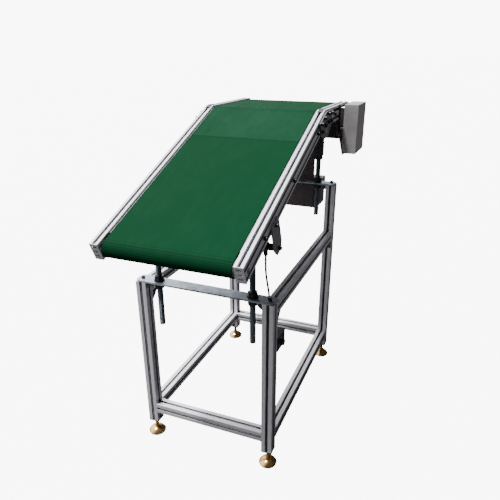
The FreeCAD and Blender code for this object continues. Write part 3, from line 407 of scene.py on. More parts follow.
def yellow_zinc_foot():
    """Yellow-passivated cup with an iridescent drift, over a dark moulded rubber base."""
    base = tuple(finishes().zinc_yellow)
    finish = Finish("yellow_zinc_foot", roughness=0.28, metallic=0.9)
    drift = finish.clouds(38, 4)
    rings = finish.clouds(1, 2, finish.stretched((40, 40, 900)))
    zinc = finish.mix(finish.ramp(drift, 0, 1, 0.3, 0.7), shade(base, 0.62), (0.70, 0.45, 0.17, 1))
    height = finish.along("Z")
    rubber = finish.ramp(height, 1, 0, 0.0049, 0.0051)
    stud = finish.ramp(height, 0, 0.8, 0.034, 0.040)
    zinc = finish.mix(stud, zinc, (0.42, 0.34, 0.18, 1))
    finish.colour(finish.mix(rubber, zinc, (0.018, 0.017, 0.016, 1)))
    finish.roughness(finish.sum(finish.ramp(drift, 0.14, 0.26), finish.ramp(rubber, 0, 0.42)))
    finish.links.new(finish.ramp(rubber, 0.9, 0.0), finish.shader.inputs["Metallic"])
    thread = finish.times(finish.stripes(0.00175, "Z"), stud)
    finish.relief(finish.sum(rings, thread), 0.0004, 0.6)
    return finish.material


def threaded_rod():
    """Dark passivated threaded rod: the thread's ridges, with painted highlight on the crests and painted
    shade in the roots.
    """
    finish = Finish("threaded_rod", roughness=0.36, metallic=0.8)
    ridges = finish.stripes(0.002, "Z")
    stain = finish.clouds(30, 4)
    # Painted highlight on the thread's crests and painted shade in its roots, following the ridges.
    tone = finish.sum(finish.ramp(ridges, 0, 0.6), finish.ramp(stain, 0, 0.4))
    finish.colour(finish.mix(tone, (0.025, 0.032, 0.036, 1), (0.17, 0.21, 0.24, 1)))
    finish.roughness(finish.ramp(stain, 0.28, 0.48))
    finish.relief(ridges, 0.0009, 0.9)
    return finish.material


def turned_steel(name, low, high, roughness):
    """Turned or ground steel: fine rings round the X axis and a light oily variation."""
    finish = Finish(name, roughness, metallic=0.95)
    rings = finish.clouds(1, 3, finish.stretched((1100, 20, 20)))
    oil = finish.clouds(22, 4)
    finish.colour(finish.mix(finish.sum(finish.ramp(rings, 0, 0.5), finish.ramp(oil, 0, 0.5)), low, high))
    finish.roughness(finish.ramp(oil, roughness - 0.06, roughness + 0.12))
    finish.relief(rings, 0.00008, 0.5)
    return finish.material


def green_belt():
    """Textured green cover: a fabric impression, a rubbed stretch, a joint line, ribs at the tail drawn as
    painted shade between them, and painted shade along both side edges.
    """
    settings = finishes()
    green, worn = tuple(settings.belt_green), tuple(settings.belt_worn)
    weave_pitch, rib_pitch, edge_width = 0.0032, 0.0052, 0.004
    finish = Finish("green_belt", roughness=0.7, Specular_IOR_Level=0.03)
    weft = finish.stripes(weave_pitch, "X")
    warp = finish.stripes(weave_pitch, "Y", finish.stretched((1, 1 / math.cos(INCLINE), 1)))
    weave = finish.times(weft, warp)
    blotch = finish.clouds(5, 6)
    dust = finish.clouds(1, 5, finish.stretched((30, 3, 30)))
    x, y = finish.along("X"), finish.along("Y")
    start = WEAR_END_Y - WEAR_LENGTH
    rubbed = finish.times(finish.ramp(y, 0, 1, start, start + 0.006),
                          finish.ramp(y, 1, 0.15, WEAR_END_Y - 0.01, WEAR_END_Y + 0.02))
    rubbed = finish.times(rubbed, finish.ramp(blotch, 0.15, 1.0, 0.3, 0.75))
    tone = finish.sum(finish.ramp(weave, -0.05, 0.10), finish.ramp(dust, -0.10, 0.22, 0.3, 0.7))
    tone = finish.sum(tone, rubbed)
    body = finish.mix(tone, green, worn)
    seam = finish.times(finish.ramp(y, 0, 1, start - 0.0045, start - 0.003),
                        finish.ramp(y, 1, 0, start - 0.001, start + 0.0005))
    body = finish.mix(finish.times(seam, 0.55), body, shade(green, 0.45))
    # Painted shade between the tail's ribs: dark stripes only where the belt wraps round the tail.
    wrapped = finish.ramp(y, 1, 0, BELT_LOW.y + 0.014, BELT_LOW.y + 0.030)
    ribs = finish.times(finish.stripes(rib_pitch, "Z"), wrapped)
    body = finish.mix(finish.times(ribs, 0.6), body, shade(green, 0.30))
    # Painted shade along both side edges, where the belt runs beside the rails.
    edge = finish.sum(finish.ramp(x, 1, 0, BELT_LOW.x, BELT_LOW.x + edge_width),
                      finish.ramp(x, 0, 1, BELT_HIGH.x - edge_width, BELT_HIGH.x))
    finish.colour(finish.mix(finish.times(edge, 0.7), body, shade(green, 0.35)))
    finish.roughness(finish.ramp(tone, 0.80, 0.62))
    finish.relief(finish.combine("SUBTRACT", weave, seam), 0.00035, 0.6)
    return finish.material


def moulded_plastic(name, colour, roughness, grain=700):
    """Moulded plastic with a spark-eroded grain and faint handling shine: glossier patches with a painted
    sheen.
    """
    finish = Finish(name, roughness, Specular_IOR_Level=0.45)
    grains = finish.clouds(grain, 2)
    shine = finish.clouds(34, 4)
    # Painted sheen: the glossier handled patches are also painted lighter.
    finish.colour(finish.mix(finish.ramp(shine, 0, 1, 0.35, 0.7), colour, shade(colour, 1.9)))
    finish.roughness(finish.ramp(shine, roughness + 0.06, roughness - 0.10))
    finish.relief(grains, 0.00012, 0.5)
    return finish.material


def sprayed_paint(name, colour, roughness, metallic=0.0):
    """Sprayed paint: orange-peel skin, a slow colour drift and pale scuffs."""
    finish = Finish(name, roughness, metallic, Coat_Weight=0.15, Coat_Roughness=0.3)
    peel = finish.clouds(420, 2)
    drift = finish.clouds(7, 5)
    scuffs = finish.ramp(finish.clouds(1, 6, finish.stretched((60, 18, 140))), 0, 0.6, 0.66, 0.80)
    tone = finish.mix(finish.ramp(drift, 0, 1, 0.3, 0.7), shade(colour, 0.85), shade(colour, 1.25))
    finish.colour(finish.mix(scuffs, tone, shade(colour, 2.6)))
    finish.roughness(finish.sum(finish.ramp(drift, roughness - 0.05, roughness + 0.08), scuffs))
    finish.relief(peel, 0.00010, 0.5)
    return finish.material


def guard_sheet():
    """Bent stainless sheet: grain across the fold, cloudy sheen and faint bending marks."""
    base = tuple(finishes().guard_sheet)
    finish = Finish("guard_sheet", roughness=0.38, metallic=0.55)
    grain = finish.clouds(1, 3, finish.stretched((500, 500, 8)))
    cloud = finish.clouds(9, 5)
    tone = finish.sum(finish.ramp(grain, -0.12, 0.12), finish.ramp(cloud, 0, 1, 0.3, 0.7))
    finish.colour(finish.mix(tone, shade(base, 0.82), shade(base, 1.15)))
    finish.roughness(finish.ramp(cloud, 0.30, 0.48))
    finish.relief(grain, 0.00006, 0.5)
    return finish.material


def cast_gearcase():
    """Die-cast gear case: sandy skin with darker oil in its hollows."""
    finish = Finish("cast_gearcase", roughness=0.5, metallic=0.8)
    sand = finish.clouds(520, 4)
    oil = finish.clouds(18, 5)
    finish.colour(finish.mix(finish.ramp(oil, 0, 1, 0.3, 0.75), (0.24, 0.24, 0.26, 1), (0.42, 0.42, 0.44, 1)))
    finish.roughness(finish.ramp(oil, 0.42, 0.62))
    finish.relief(sand, 0.0003, 0.6)
    return finish.material


def cable_jacket():
    """Matt cable jacket with a slight bloom along its length."""
    finish = Finish("cable_jacket", roughness=0.55, Specular_IOR_Level=0.4)
    bloom = finish.clouds(60, 4)
    finish.colour(finish.mix(bloom, (0.035, 0.036, 0.040, 1), (0.10, 0.10, 0.11, 1)))
    finish.roughness(finish.ramp(bloom, 0.45, 0.65))
    finish.relief(finish.clouds(900, 2), 0.0001, 0.5)
    return finish.material


def dress(node, material):
    """Give a frame part its finish."""
    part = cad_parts[node]
    part.data.materials.clear()
    part.data.materials.append(material)


# ---------------------------------------------------------------- mesh building


def piece_from(name, shape, material, body, replaced=()):
    """A finished piece from a bmesh whose vertices are already in place."""
    bmesh.ops.recalc_face_normals(shape, faces=shape.faces)
    mesh = bpy.data.meshes.new(name)
    shape.to_mesh(mesh)
    shape.free()
    mesh.materials.append(material)
    piece = bpy.data.objects.new(name, mesh)
    bpy.context.collection.objects.link(piece)
    if replaced:
        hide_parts(*replaced)
    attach(piece, body)
    return piece


AXES = {
    "X": Matrix.Rotation(math.pi / 2, 4, "Y"),
    "-X": Matrix.Rotation(-math.pi / 2, 4, "Y"),
    "Y": Matrix.Rotation(-math.pi / 2, 4, "X"),
    "-Y": Matrix.Rotation(math.pi / 2, 4, "X"),
    "Z": Matrix.Identity(4),
    "-Z": Matrix.Rotation(math.pi, 4, "X"),
}


def joined_to(verts):
    """The vertices and all that their edges reach."""
    verts = set(verts)
    grown = True
    while grown:
        more = {edge.other_vert(vert) for vert in verts for edge in vert.link_edges} - verts
        verts |= more
        grown = bool(more)
    return list(verts)


def add_screw(shape, centre, axis, radius, height):
    """A button-head socket screw standing on a face: a turned head and a hexagon socket."""
    head = bmesh.ops.create_circle(shape, cap_ends=True, radius=radius, segments=18)["verts"]
    face = next(face for face in head[0].link_faces)
    lift = bmesh.ops.extrude_face_region(shape, geom=[face])
    rim = [item for item in lift["geom"] if isinstance(item, bmesh.types.BMVert)]
    bmesh.ops.translate(shape, verts=rim, vec=(0, 0, height * 0.55))
    top = next(item for item in lift["geom"] if isinstance(item, bmesh.types.BMFace))
    crown = bmesh.ops.inset_individual(shape, faces=[top], thickness=radius * 0.30)
    bmesh.ops.translate(shape, verts=list(top.verts), vec=(0, 0, height * 0.45))
    bmesh.ops.inset_individual(shape, faces=[top], thickness=radius * 0.22)
    bmesh.ops.inset_individual(shape, faces=[top], thickness=radius * 0.04)
    bmesh.ops.translate(shape, verts=list(top.verts), vec=(0, 0, -height * 0.6))
    verts = set(head) | set(rim) | set(top.verts)
    for face in crown["faces"]:
        verts |= set(face.verts)
    bmesh.ops.transform(shape, matrix=Matrix.Translation(centre) @ AXES[axis], verts=joined_to(verts))


def add_box(shape, low, high, bevel):
    """A box between two corners with rounded edges."""
    low, high = Vector(low), Vector(high)
    verts = bmesh.ops.create_cube(shape, size=1)["verts"]
    size = high - low
    matrix = Matrix.Translation((low + high) / 2) @ Matrix.Diagonal((*size, 1))
    bmesh.ops.transform(shape, matrix=matrix, verts=verts)
    edges = list({edge for vert in verts for edge in vert.link_edges})
    bmesh.ops.bevel(shape, geom=edges, offset=bevel, offset_type="OFFSET", affect="EDGES", segments=2,
                    profile=0.5, material=-1, clamp_overlap=True)


def add_turned(shape, profile, centre, axis, segments):
    """A solid of revolution: profile is (radius, height) pairs from the foot to the tip, both on the axis."""
    verts = [shape.verts.new((radius, 0, height)) for radius, height in profile]
    edges = [shape.edges.new(pair) for pair in zip(verts, verts[1:])]
    spun = bmesh.ops.spin(shape, geom=verts + edges, cent=(0, 0, 0), axis=(0, 0, 1), dvec=(0, 0, 0),
                          angle=2 * math.pi, steps=segments, use_merge=True, use_duplicate=False)
    reached = set(verts) | {item for item in spun["geom_last"] if isinstance(item, bmesh.types.BMVert)}
    reached = joined_to(reached)
    bmesh.ops.transform(shape, matrix=Matrix.Translation(centre) @ AXES[axis], verts=reached)
    bmesh.ops.remove_doubles(shape, verts=reached, dist=1e-6)


# ---------------------------------------------------------------- operators


class CONVEYOR_OT_set_stage(bpy.types.Operator):
    """Put the conveyor on a pale floor, under soft lights, in front of the camera"""

    bl_idname = "conveyor.set_stage"
    bl_label = "Set Stage"

    FLOOR_REACH = 400
    CAMERA_PLACE = (689.5, -1270.9, 1366.3)
    CAMERA_SENSOR = 36
    CAMERA_SHIFT = (-0.0162, 0.0262)
    CAMERA_REACH = 2000
    BRIGHT_SIDE = (-1.00, 0.10, 0.50)
    BRIGHT_FROM, BRIGHT_FULL = 0.15, 0.95
    SUN_TOWARDS = (1.0, 0.8, -3.4)
    WHITE = (1.0, 1.0, 1.0, 1.0)

    def execute(self, context):
        stage = context.scene.conveyor_stage
        if stage.floor_shown:
            self.add_floor(context, stage)
        self.add_sky(context, stage)
        self.add_sun(context, stage)
        self.add_camera(context, stage)
        return {"FINISHED"}

    def add_floor(self, context, stage):
        """A wide pale sheet that glows where it is seen, and lights the conveyor only a little."""
        shape = bmesh.new()
        bmesh.ops.create_grid(shape, x_segments=2, y_segments=2, size=self.FLOOR_REACH)
        mesh = bpy.data.meshes.new("floor")
        shape.to_mesh(mesh)
        shape.free()
        floor = bpy.data.objects.new("floor", mesh)
        context.collection.objects.link(floor)
        finish = Finish("floor_paper", roughness=0.9, Specular_IOR_Level=0.1)
        finish.shader.inputs["Base Color"].default_value = tuple(stage.floor_colour)
        seen = finish.nodes.new("ShaderNodeLightPath").outputs["Is Camera Ray"]
        glow = finish.ramp(seen, 0.0, stage.paper_glow)
        finish.links.new(glow, finish.shader.inputs["Emission Strength"])
        finish.shader.inputs["Emission Color"].default_value = self.WHITE
        mesh.materials.append(finish.material)

    def add_sky(self, context, stage):
        """A pale studio: bright to the left of the belt, dimmer towards the drive side."""
        world = bpy.data.worlds.new("studio")
        context.scene.world = world
        world.use_nodes = True
        nodes, links = world.node_tree.nodes, world.node_tree.links
        coordinates = nodes.new("ShaderNodeTexCoord")
        towards = nodes.new("ShaderNodeVectorMath")
        towards.operation = "DOT_PRODUCT"
        towards.inputs[1].default_value = Vector(self.BRIGHT_SIDE).normalized()
        links.new(coordinates.outputs["Generated"], towards.inputs[0])
        fade = nodes.new("ShaderNodeMapRange")
        fade.interpolation_type = "SMOOTHSTEP"
        fade.inputs["From Min"].default_value = self.BRIGHT_FROM
        fade.inputs["From Max"].default_value = self.BRIGHT_FULL
        fade.inputs["To Min"].default_value = stage.sky_dim
        fade.inputs["To Max"].default_value = stage.sky_bright
        links.new(towards.outputs["Value"], fade.inputs["Value"])
        background = nodes["Background"]
        background.inputs["Color"].default_value = self.WHITE
        seen = nodes.new("ShaderNodeLightPath").outputs["Is Camera Ray"]
        choose = nodes.new("ShaderNodeMix")
        links.new(seen, choose.inputs["Factor"])
        links.new(fade.outputs["Result"], choose.inputs["A"])
        choose.inputs["B"].default_value = stage.paper_glow + stage.paper_lift
        links.new(choose.outputs["Result"], background.inputs["Strength"])

    def add_sun(self, context, stage):
        """One soft sun from above, a little to the left of the tail."""
        light = bpy.data.lights.new("sun", "SUN")
        light.energy = stage.sun_strength
        light.angle = stage.sun_softness
        lamp = bpy.data.objects.new("sun", light)
        context.collection.objects.link(lamp)
        lamp.rotation_euler = Vector(self.SUN_TOWARDS).to_track_quat("-Z", "Y").to_euler()

    def add_camera(self, context, stage):
        """The camera, in front of the tail and to the right, looking down at the belt."""
        camera = bpy.data.objects.new("camera", bpy.data.cameras.new("camera"))
        context.collection.objects.link(camera)
        camera.data.lens = stage.camera_lens
        camera.data.sensor_width = self.CAMERA_SENSOR
        camera.data.shift_x, camera.data.shift_y = self.CAMERA_SHIFT
        camera.data.clip_end = self.CAMERA_REACH
        turn, tilt = stage.camera_turn, stage.camera_tilt
        forward = Vector((-math.sin(turn) * math.cos(tilt), math.cos(turn) * math.cos(tilt), -math.sin(tilt)))
        look = forward.to_track_quat("-Z", "Y").to_matrix().to_4x4()
        place = Matrix.Translation(from_corner(*self.CAMERA_PLACE))
        camera.matrix_world = place @ look @ Matrix.Rotation(stage.camera_roll, 4, "Z")
        context.scene.camera = camera


class CONVEYOR_OT_run_cable(bpy.types.Operator):
    """Hang the control cable between its clip on the deck and the speed controller"""

    bl_idname = "conveyor.run_cable"
    bl_label = "Run Control Cable"

    # Millimetres from the front legs' face and the belt's middle, from the clip down to the gland.
    ROUTE = [(203, 50.57, 795), (203, 50.57, 762), (203, 54, 730), (204, 63, 698), (203, 79, 664),
             (201, 93, 630), (203, 98, 597), (210, 94, 567), (213, 90, 546), (213, 90, 526)]

    def execute(self, context):
        settings = fittings()
        curve = bpy.data.curves.new("cable_route", "CURVE")
        curve.dimensions = "3D"
        spline = curve.splines.new("NURBS")
        spline.points.add(len(self.ROUTE) - 1)
        for point, place in zip(spline.points, self.ROUTE):
            point.co = (*from_corner(*place), 1)
        spline.order_u = 3
        spline.use_endpoint_u = True
        spline.resolution_u = 10
        route = bpy.data.objects.new("cable_route", curve)
        context.collection.objects.link(route)
        centreline = bpy.data.meshes.new_from_object(route)
        bpy.data.meshes.remove(centreline)
        curve.bevel_depth = settings.cable_radius
        curve.bevel_resolution = settings.cable_sides // 4
        curve.use_fill_caps = True
        tube = bpy.data.meshes.new_from_object(route)
        bpy.data.objects.remove(route)
        tube.name = "control_cable_jacket"
        tube.materials.clear()
        tube.materials.append(cable_jacket())
        cable = bpy.data.objects.new("control_cable_jacket", tube)
        context.collection.objects.link(cable)
        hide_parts("control_cable")
        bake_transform(cable)
        return {"FINISHED"}


class CONVEYOR_OT_finish_profiles(bpy.types.Operator):
    """Give the stand's and the deck's profiles their anodised finish, grained along each bar"""

    bl_idname = "conveyor.finish_profiles"
    bl_label = "Finish Profiles"

    BARS = {
        "upright": (("leg_front_left", "leg_front_right", "leg_rear_left", "leg_rear_right"),
                    {"X": (0,), "Y": (0,)}),
        "across": (("low_rail_front", "low_rail_rear"), {"Y": (0,), "Z": (0,)}),
        "lengthwise": (("low_rail_left", "low_rail_right", "top_rail_left", "top_rail_right"),
                       {"X": (0,), "Z": (0,)}),
        "level": (("head_rail_left", "head_rail_right"), {"X": (0,), "Z": (-0.015, 0.015)}),
        "sloping": (("incline_rail_left", "incline_rail_right"), {"X": (0,), "slope": (-0.045, -0.015)}),
    }

    def execute(self, context):
        for direction, (bars, rows) in self.BARS.items():
            material = anodised_profile(direction, bars, rows)
            for bar in bars:
                dress(bar, material)
        return {"FINISHED"}


class CONVEYOR_OT_finish_fittings(bpy.types.Operator):
    """Give the plates, castings, rods, feet, screws and nuts their finishes"""

    bl_idname = "conveyor.finish_fittings"
    bl_label = "Finish Fittings"

    def execute(self, context):
        casting = coated_black("black_casting", roughness=0.5, metallic=0.3, speck=600, relief=0.00018)
        oxide = coated_black("black_oxide_steel", roughness=0.38, metallic=0.7, speck=1400, relief=0.00004)
        zinc = galvanised_plate()
        foot = yellow_zinc_foot()
        for part in ("corner_brackets", "cross_clamps", "drop_brackets", "rear_hanger", "cable_clip"):
            dress(part, casting)
        for part in ("plate_screws", "plate_nuts", "deck_nuts", "deck_screws", "front_cross_bar",
                     "foot_lock_nuts", "groove_connectors"):
            dress(part, oxide)
        for part in ("cross_plate_front", "cross_plate_rear"):
            dress(part, zinc)
        for corner in ("front_left", "front_right", "rear_left", "rear_right"):
            dress(f"foot_{corner}", foot)
        dress("support_rods", threaded_rod())
        black = tuple(finishes().black_finish)
        plastic = moulded_plastic("black_moulding", black, roughness=0.5)
        for part in ("leg_end_caps", "knee_covers"):
            dress(part, plastic)
        return {"FINISHED"}


class CONVEYOR_OT_finish_belt_run(bpy.types.Operator):
    """Give the belt, its bed, the rollers and their bearings their finishes"""

    bl_idname = "conveyor.finish_belt_run"
    bl_label = "Finish Belt Run"

    def execute(self, context):
        dress("belt", green_belt())
        dress("slider_bed", turned_steel("slider_bed_sheet", low=(0.30, 0.31, 0.32, 1),
                                         high=(0.50, 0.51, 0.53, 1), roughness=0.4))
        roller = turned_steel("roller_tube", low=(0.38, 0.38, 0.40, 1), high=(0.60, 0.60, 0.62, 1),
                              roughness=0.3)
        for part in ("tail_roller", "drive_roller", "return_roller"):
            dress(part, roller)
        bright = turned_steel("bright_bar", low=(0.42, 0.42, 0.43, 1), high=(0.62, 0.62, 0.63, 1),
                              roughness=0.28)
        for part in ("tie_bars", "guard_posts"):
            dress(part, bright)
        dress("roller_bearings", turned_steel("bearing_race", low=(0.55, 0.55, 0.57, 1),
                                              high=(0.8, 0.8, 0.82, 1), roughness=0.16))
        plate = sprayed_paint("grey_plate_paint", (0.11, 0.11, 0.12, 1), roughness=0.42, metallic=0.3)
        for part in ("knee_plate_left", "knee_plate_right"):
            dress(part, plate)
        pivot = sprayed_paint("pivot_plate_paint", (0.20, 0.20, 0.22, 1), roughness=0.42, metallic=0.4)
        dress("pivot_plates", pivot)
        return {"FINISHED"}


class CONVEYOR_OT_finish_drive(bpy.types.Operator):
    """Give the drive, its guard and the control box their finishes"""

    bl_idname = "conveyor.finish_drive"
    bl_label = "Finish Drive"

    def execute(self, context):
        dress("drive_guard", guard_sheet())
        plate = sprayed_paint("drive_plate_paint", (0.035, 0.035, 0.038, 1), roughness=0.4, metallic=0.3)
        dress("drive_plate", plate)
        dress("gearbox", cast_gearcase())
        chain = turned_steel("chain_steel", low=(0.10, 0.095, 0.085, 1), high=(0.26, 0.25, 0.23, 1),
                             roughness=0.36)
        for part in ("drive_chain", "drive_sprocket", "motor_sprocket"):
            dress(part, chain)
        colour = finishes().box_paint
        paint = sprayed_paint("control_box_paint", tuple(colour), roughness=0.42)
        for part in ("control_panel", "control_box"):
            dress(part, paint)
        # Painted highlight: the lid gets the box's paint made 1.5 times lighter, for the light caught along
        # the lid.
        dress("control_box_lid", sprayed_paint("control_box_lid_painted_highlight", shade(colour, 1.5), roughness=0.36))
        return {"FINISHED"}


class CONVEYOR_OT_add_bracket_screws(bpy.types.Operator):
    """Screw the corner brackets to the profiles"""

    bl_idname = "conveyor.add_bracket_screws"
    bl_label = "Add Bracket Screws"

    # Millimetres from the front legs' face and the belt's middle.
    LEG_INNER, LEG_MIDDLE = 210, 230
    UNDER_PLATES = ((20, 650), (780, 850))
    LEG_FACES = ((40, 1), (760, -1))
    UNDER_TOP_RAILS = 605
    FLANGE, REACH, SMALL_REACH = 4.5, 19.5, 12.0

    def execute(self, context):
        settings = fittings()
        shape = bmesh.new()
        for centre, axis in self.places():
            add_screw(shape, centre, axis, settings.screw_radius, settings.screw_height)
        oxide = coated_black("black_oxide_screws", roughness=0.36, metallic=0.7, speck=1400, relief=0.00004)
        piece_from("bracket_screws", shape, oxide, "stand")
        return {"FINISHED"}

    def places(self):
        """Centre and facing of each screw head, on the flanges of the brackets."""
        for side in (-1, 1):
            inner = side * (self.LEG_INNER - self.FLANGE)
            for y, plate in self.UNDER_PLATES:
                yield from_corner(inner, y, plate - self.SMALL_REACH), "X" if side < 0 else "-X"
            middle = side * self.LEG_MIDDLE
            for y, along in self.LEG_FACES:
                yield (from_corner(middle, y + along * self.FLANGE, self.UNDER_TOP_RAILS - self.REACH),
                       "Y" if along > 0 else "-Y")
                yield from_corner(middle, y + along * self.REACH, self.UNDER_TOP_RAILS - self.FLANGE), "-Z"


class CONVEYOR_OT_fit_end_plates(bpy.types.Operator):
    """Cover the tail ends of the two sloping rails with thin plates that have three slots each"""

    bl_idname = "conveyor.fit_end_plates"
    bl_label = "Fit End Plates"

    # Lines of the plate's grid, across the rail and down from its top, with the rows that are slots.
    ACROSS = (-0.0148, -0.0080, 0.0080, 0.0148)
    DOWN = (0.0002, 0.0095, 0.0150, 0.0260, 0.0320, 0.0425, 0.0480, 0.0598)
    SLOT_ROWS, SLOT_COLUMN = (1, 3, 5), 1

    def execute(self, context):
        fitting = fittings()
        run_down = Vector((0, math.sin(INCLINE), -math.cos(INCLINE)))
        outward = Vector((0, -math.cos(INCLINE), -math.sin(INCLINE)))
        tail_z = HEAD_HIGH.z - (KNEE_Y - RAIL_LOW.y) * math.tan(INCLINE)
        right = (RAIL_LOW.x + RAIL_HIGH.x) / 2 + ORIGIN.x
        columns, rows = len(self.ACROSS) - 1, len(self.DOWN) - 1
        shape = bmesh.new()
        for side in (-1, 1):
            corner = Vector((side * right - ORIGIN.x, RAIL_LOW.y, tail_z)) + outward * fitting.plate_gap
            grid = bmesh.ops.create_grid(shape, x_segments=columns, y_segments=rows, size=1)["verts"]
            faces = list(dict.fromkeys(face for vert in grid for face in vert.link_faces))
            middles = [(face, (face.calc_center_median() + Vector((1, 1, 0))) / 2) for face in faces]
            slots = [face for face, middle in middles
                     if int(middle.x * columns) == self.SLOT_COLUMN
                     and int(middle.y * rows) in self.SLOT_ROWS]
            bmesh.ops.delete(shape, geom=slots, context="FACES_ONLY")
            for vert in grid:
                across = self.ACROSS[round((vert.co.x + 1) / 2 * columns)]
                down = self.DOWN[round((vert.co.y + 1) / 2 * rows)]
                vert.co = corner + Vector((side * across, 0, 0)) + run_down * down
            faces = [face for face in faces if face.is_valid]
            grown = bmesh.ops.extrude_face_region(shape, geom=faces, use_keep_orig=True)["geom"]
            moved = [item for item in grown if isinstance(item, bmesh.types.BMVert)]
            bmesh.ops.translate(shape, verts=moved, vec=outward * fitting.plate_thick)
        anodised = finishes().anodised
        finish = Finish("end_plate", roughness=0.4, metallic=0.5)
        finish.colour(finish.mix(finish.clouds(120, 4), shade(anodised, 0.7), shade(anodised, 0.95)))
        piece_from("rail_end_plates", shape, finish.material, "deck")
        return {"FINISHED"}


class CONVEYOR_OT_build_motor(bpy.types.Operator):
    """Replace the plain motor with a finned one with an end shield and a fan cowl"""

    bl_idname = "conveyor.build_motor"
    bl_label = "Build Motor"

    SHIELD_LONG, TAIL_LONG = 0.026, 0.018
    FIN_WIDE, FIN_ROOT, FIN_GAP = 0.0022, 0.002, 0.002
    SCREWS, SCREW_INSET, SCREW_RADIUS, SCREW_HEIGHT = 4, 0.0065, 0.0035, 0.003

    def execute(self, context):
        settings = fittings()
        low, high = MOTOR_LOW, MOTOR_HIGH
        centre = Vector((low.x, (low.y + high.y) / 2, (low.z + high.z) / 2))
        length, radius = high.x - low.x, (high.y - low.y) / 2
        paint = sprayed_paint("motor_paint", (0.05, 0.05, 0.055, 1), roughness=0.45, metallic=0.2)
        shape = bmesh.new()
        shield, tail = self.SHIELD_LONG, length - self.TAIL_LONG
        core = radius - settings.fin_depth
        profile = [(0, 0), (radius * 0.55, 0), (radius * 0.62, 0.003), (radius - 0.004, 0.003),
                   (radius, 0.007), (radius, shield - 0.002), (radius - 0.002, shield), (core, shield),
                   (core, tail), (radius - 0.001, tail), (radius, tail + 0.001), (radius, length - 0.001),
                   (radius - 0.001, length), (0, length)]
        add_turned(shape, profile, centre, "X", 56)
        fin_size = (tail - shield - self.FIN_GAP, self.FIN_WIDE, settings.fin_depth + self.FIN_ROOT, 1)
        fin_place = Vector(((shield + tail) / 2, 0, radius - 0.0001 - fin_size[2] / 2))
        for index in range(settings.fin_count):
            turn = Matrix.Rotation(2 * math.pi * index / settings.fin_count, 4, "X")
            fin = bmesh.ops.create_cube(shape, size=1)["verts"]
            place = Matrix.Translation(centre) @ turn @ Matrix.Translation(fin_place)
            bmesh.ops.transform(shape, matrix=place @ Matrix.Diagonal(fin_size), verts=fin)
        for index in range(self.SCREWS):
            turn = math.pi / 4 + index * 2 * math.pi / self.SCREWS
            outward = Vector((0, math.sin(turn), math.cos(turn))) * (radius - self.SCREW_INSET)
            spot = centre + Vector((shield + 0.0006, 0, 0)) + outward
            add_screw(shape, spot, "-X", self.SCREW_RADIUS, self.SCREW_HEIGHT)
        piece_from("motor_housing", shape, paint, "deck", ("motor",))
        return {"FINISHED"}


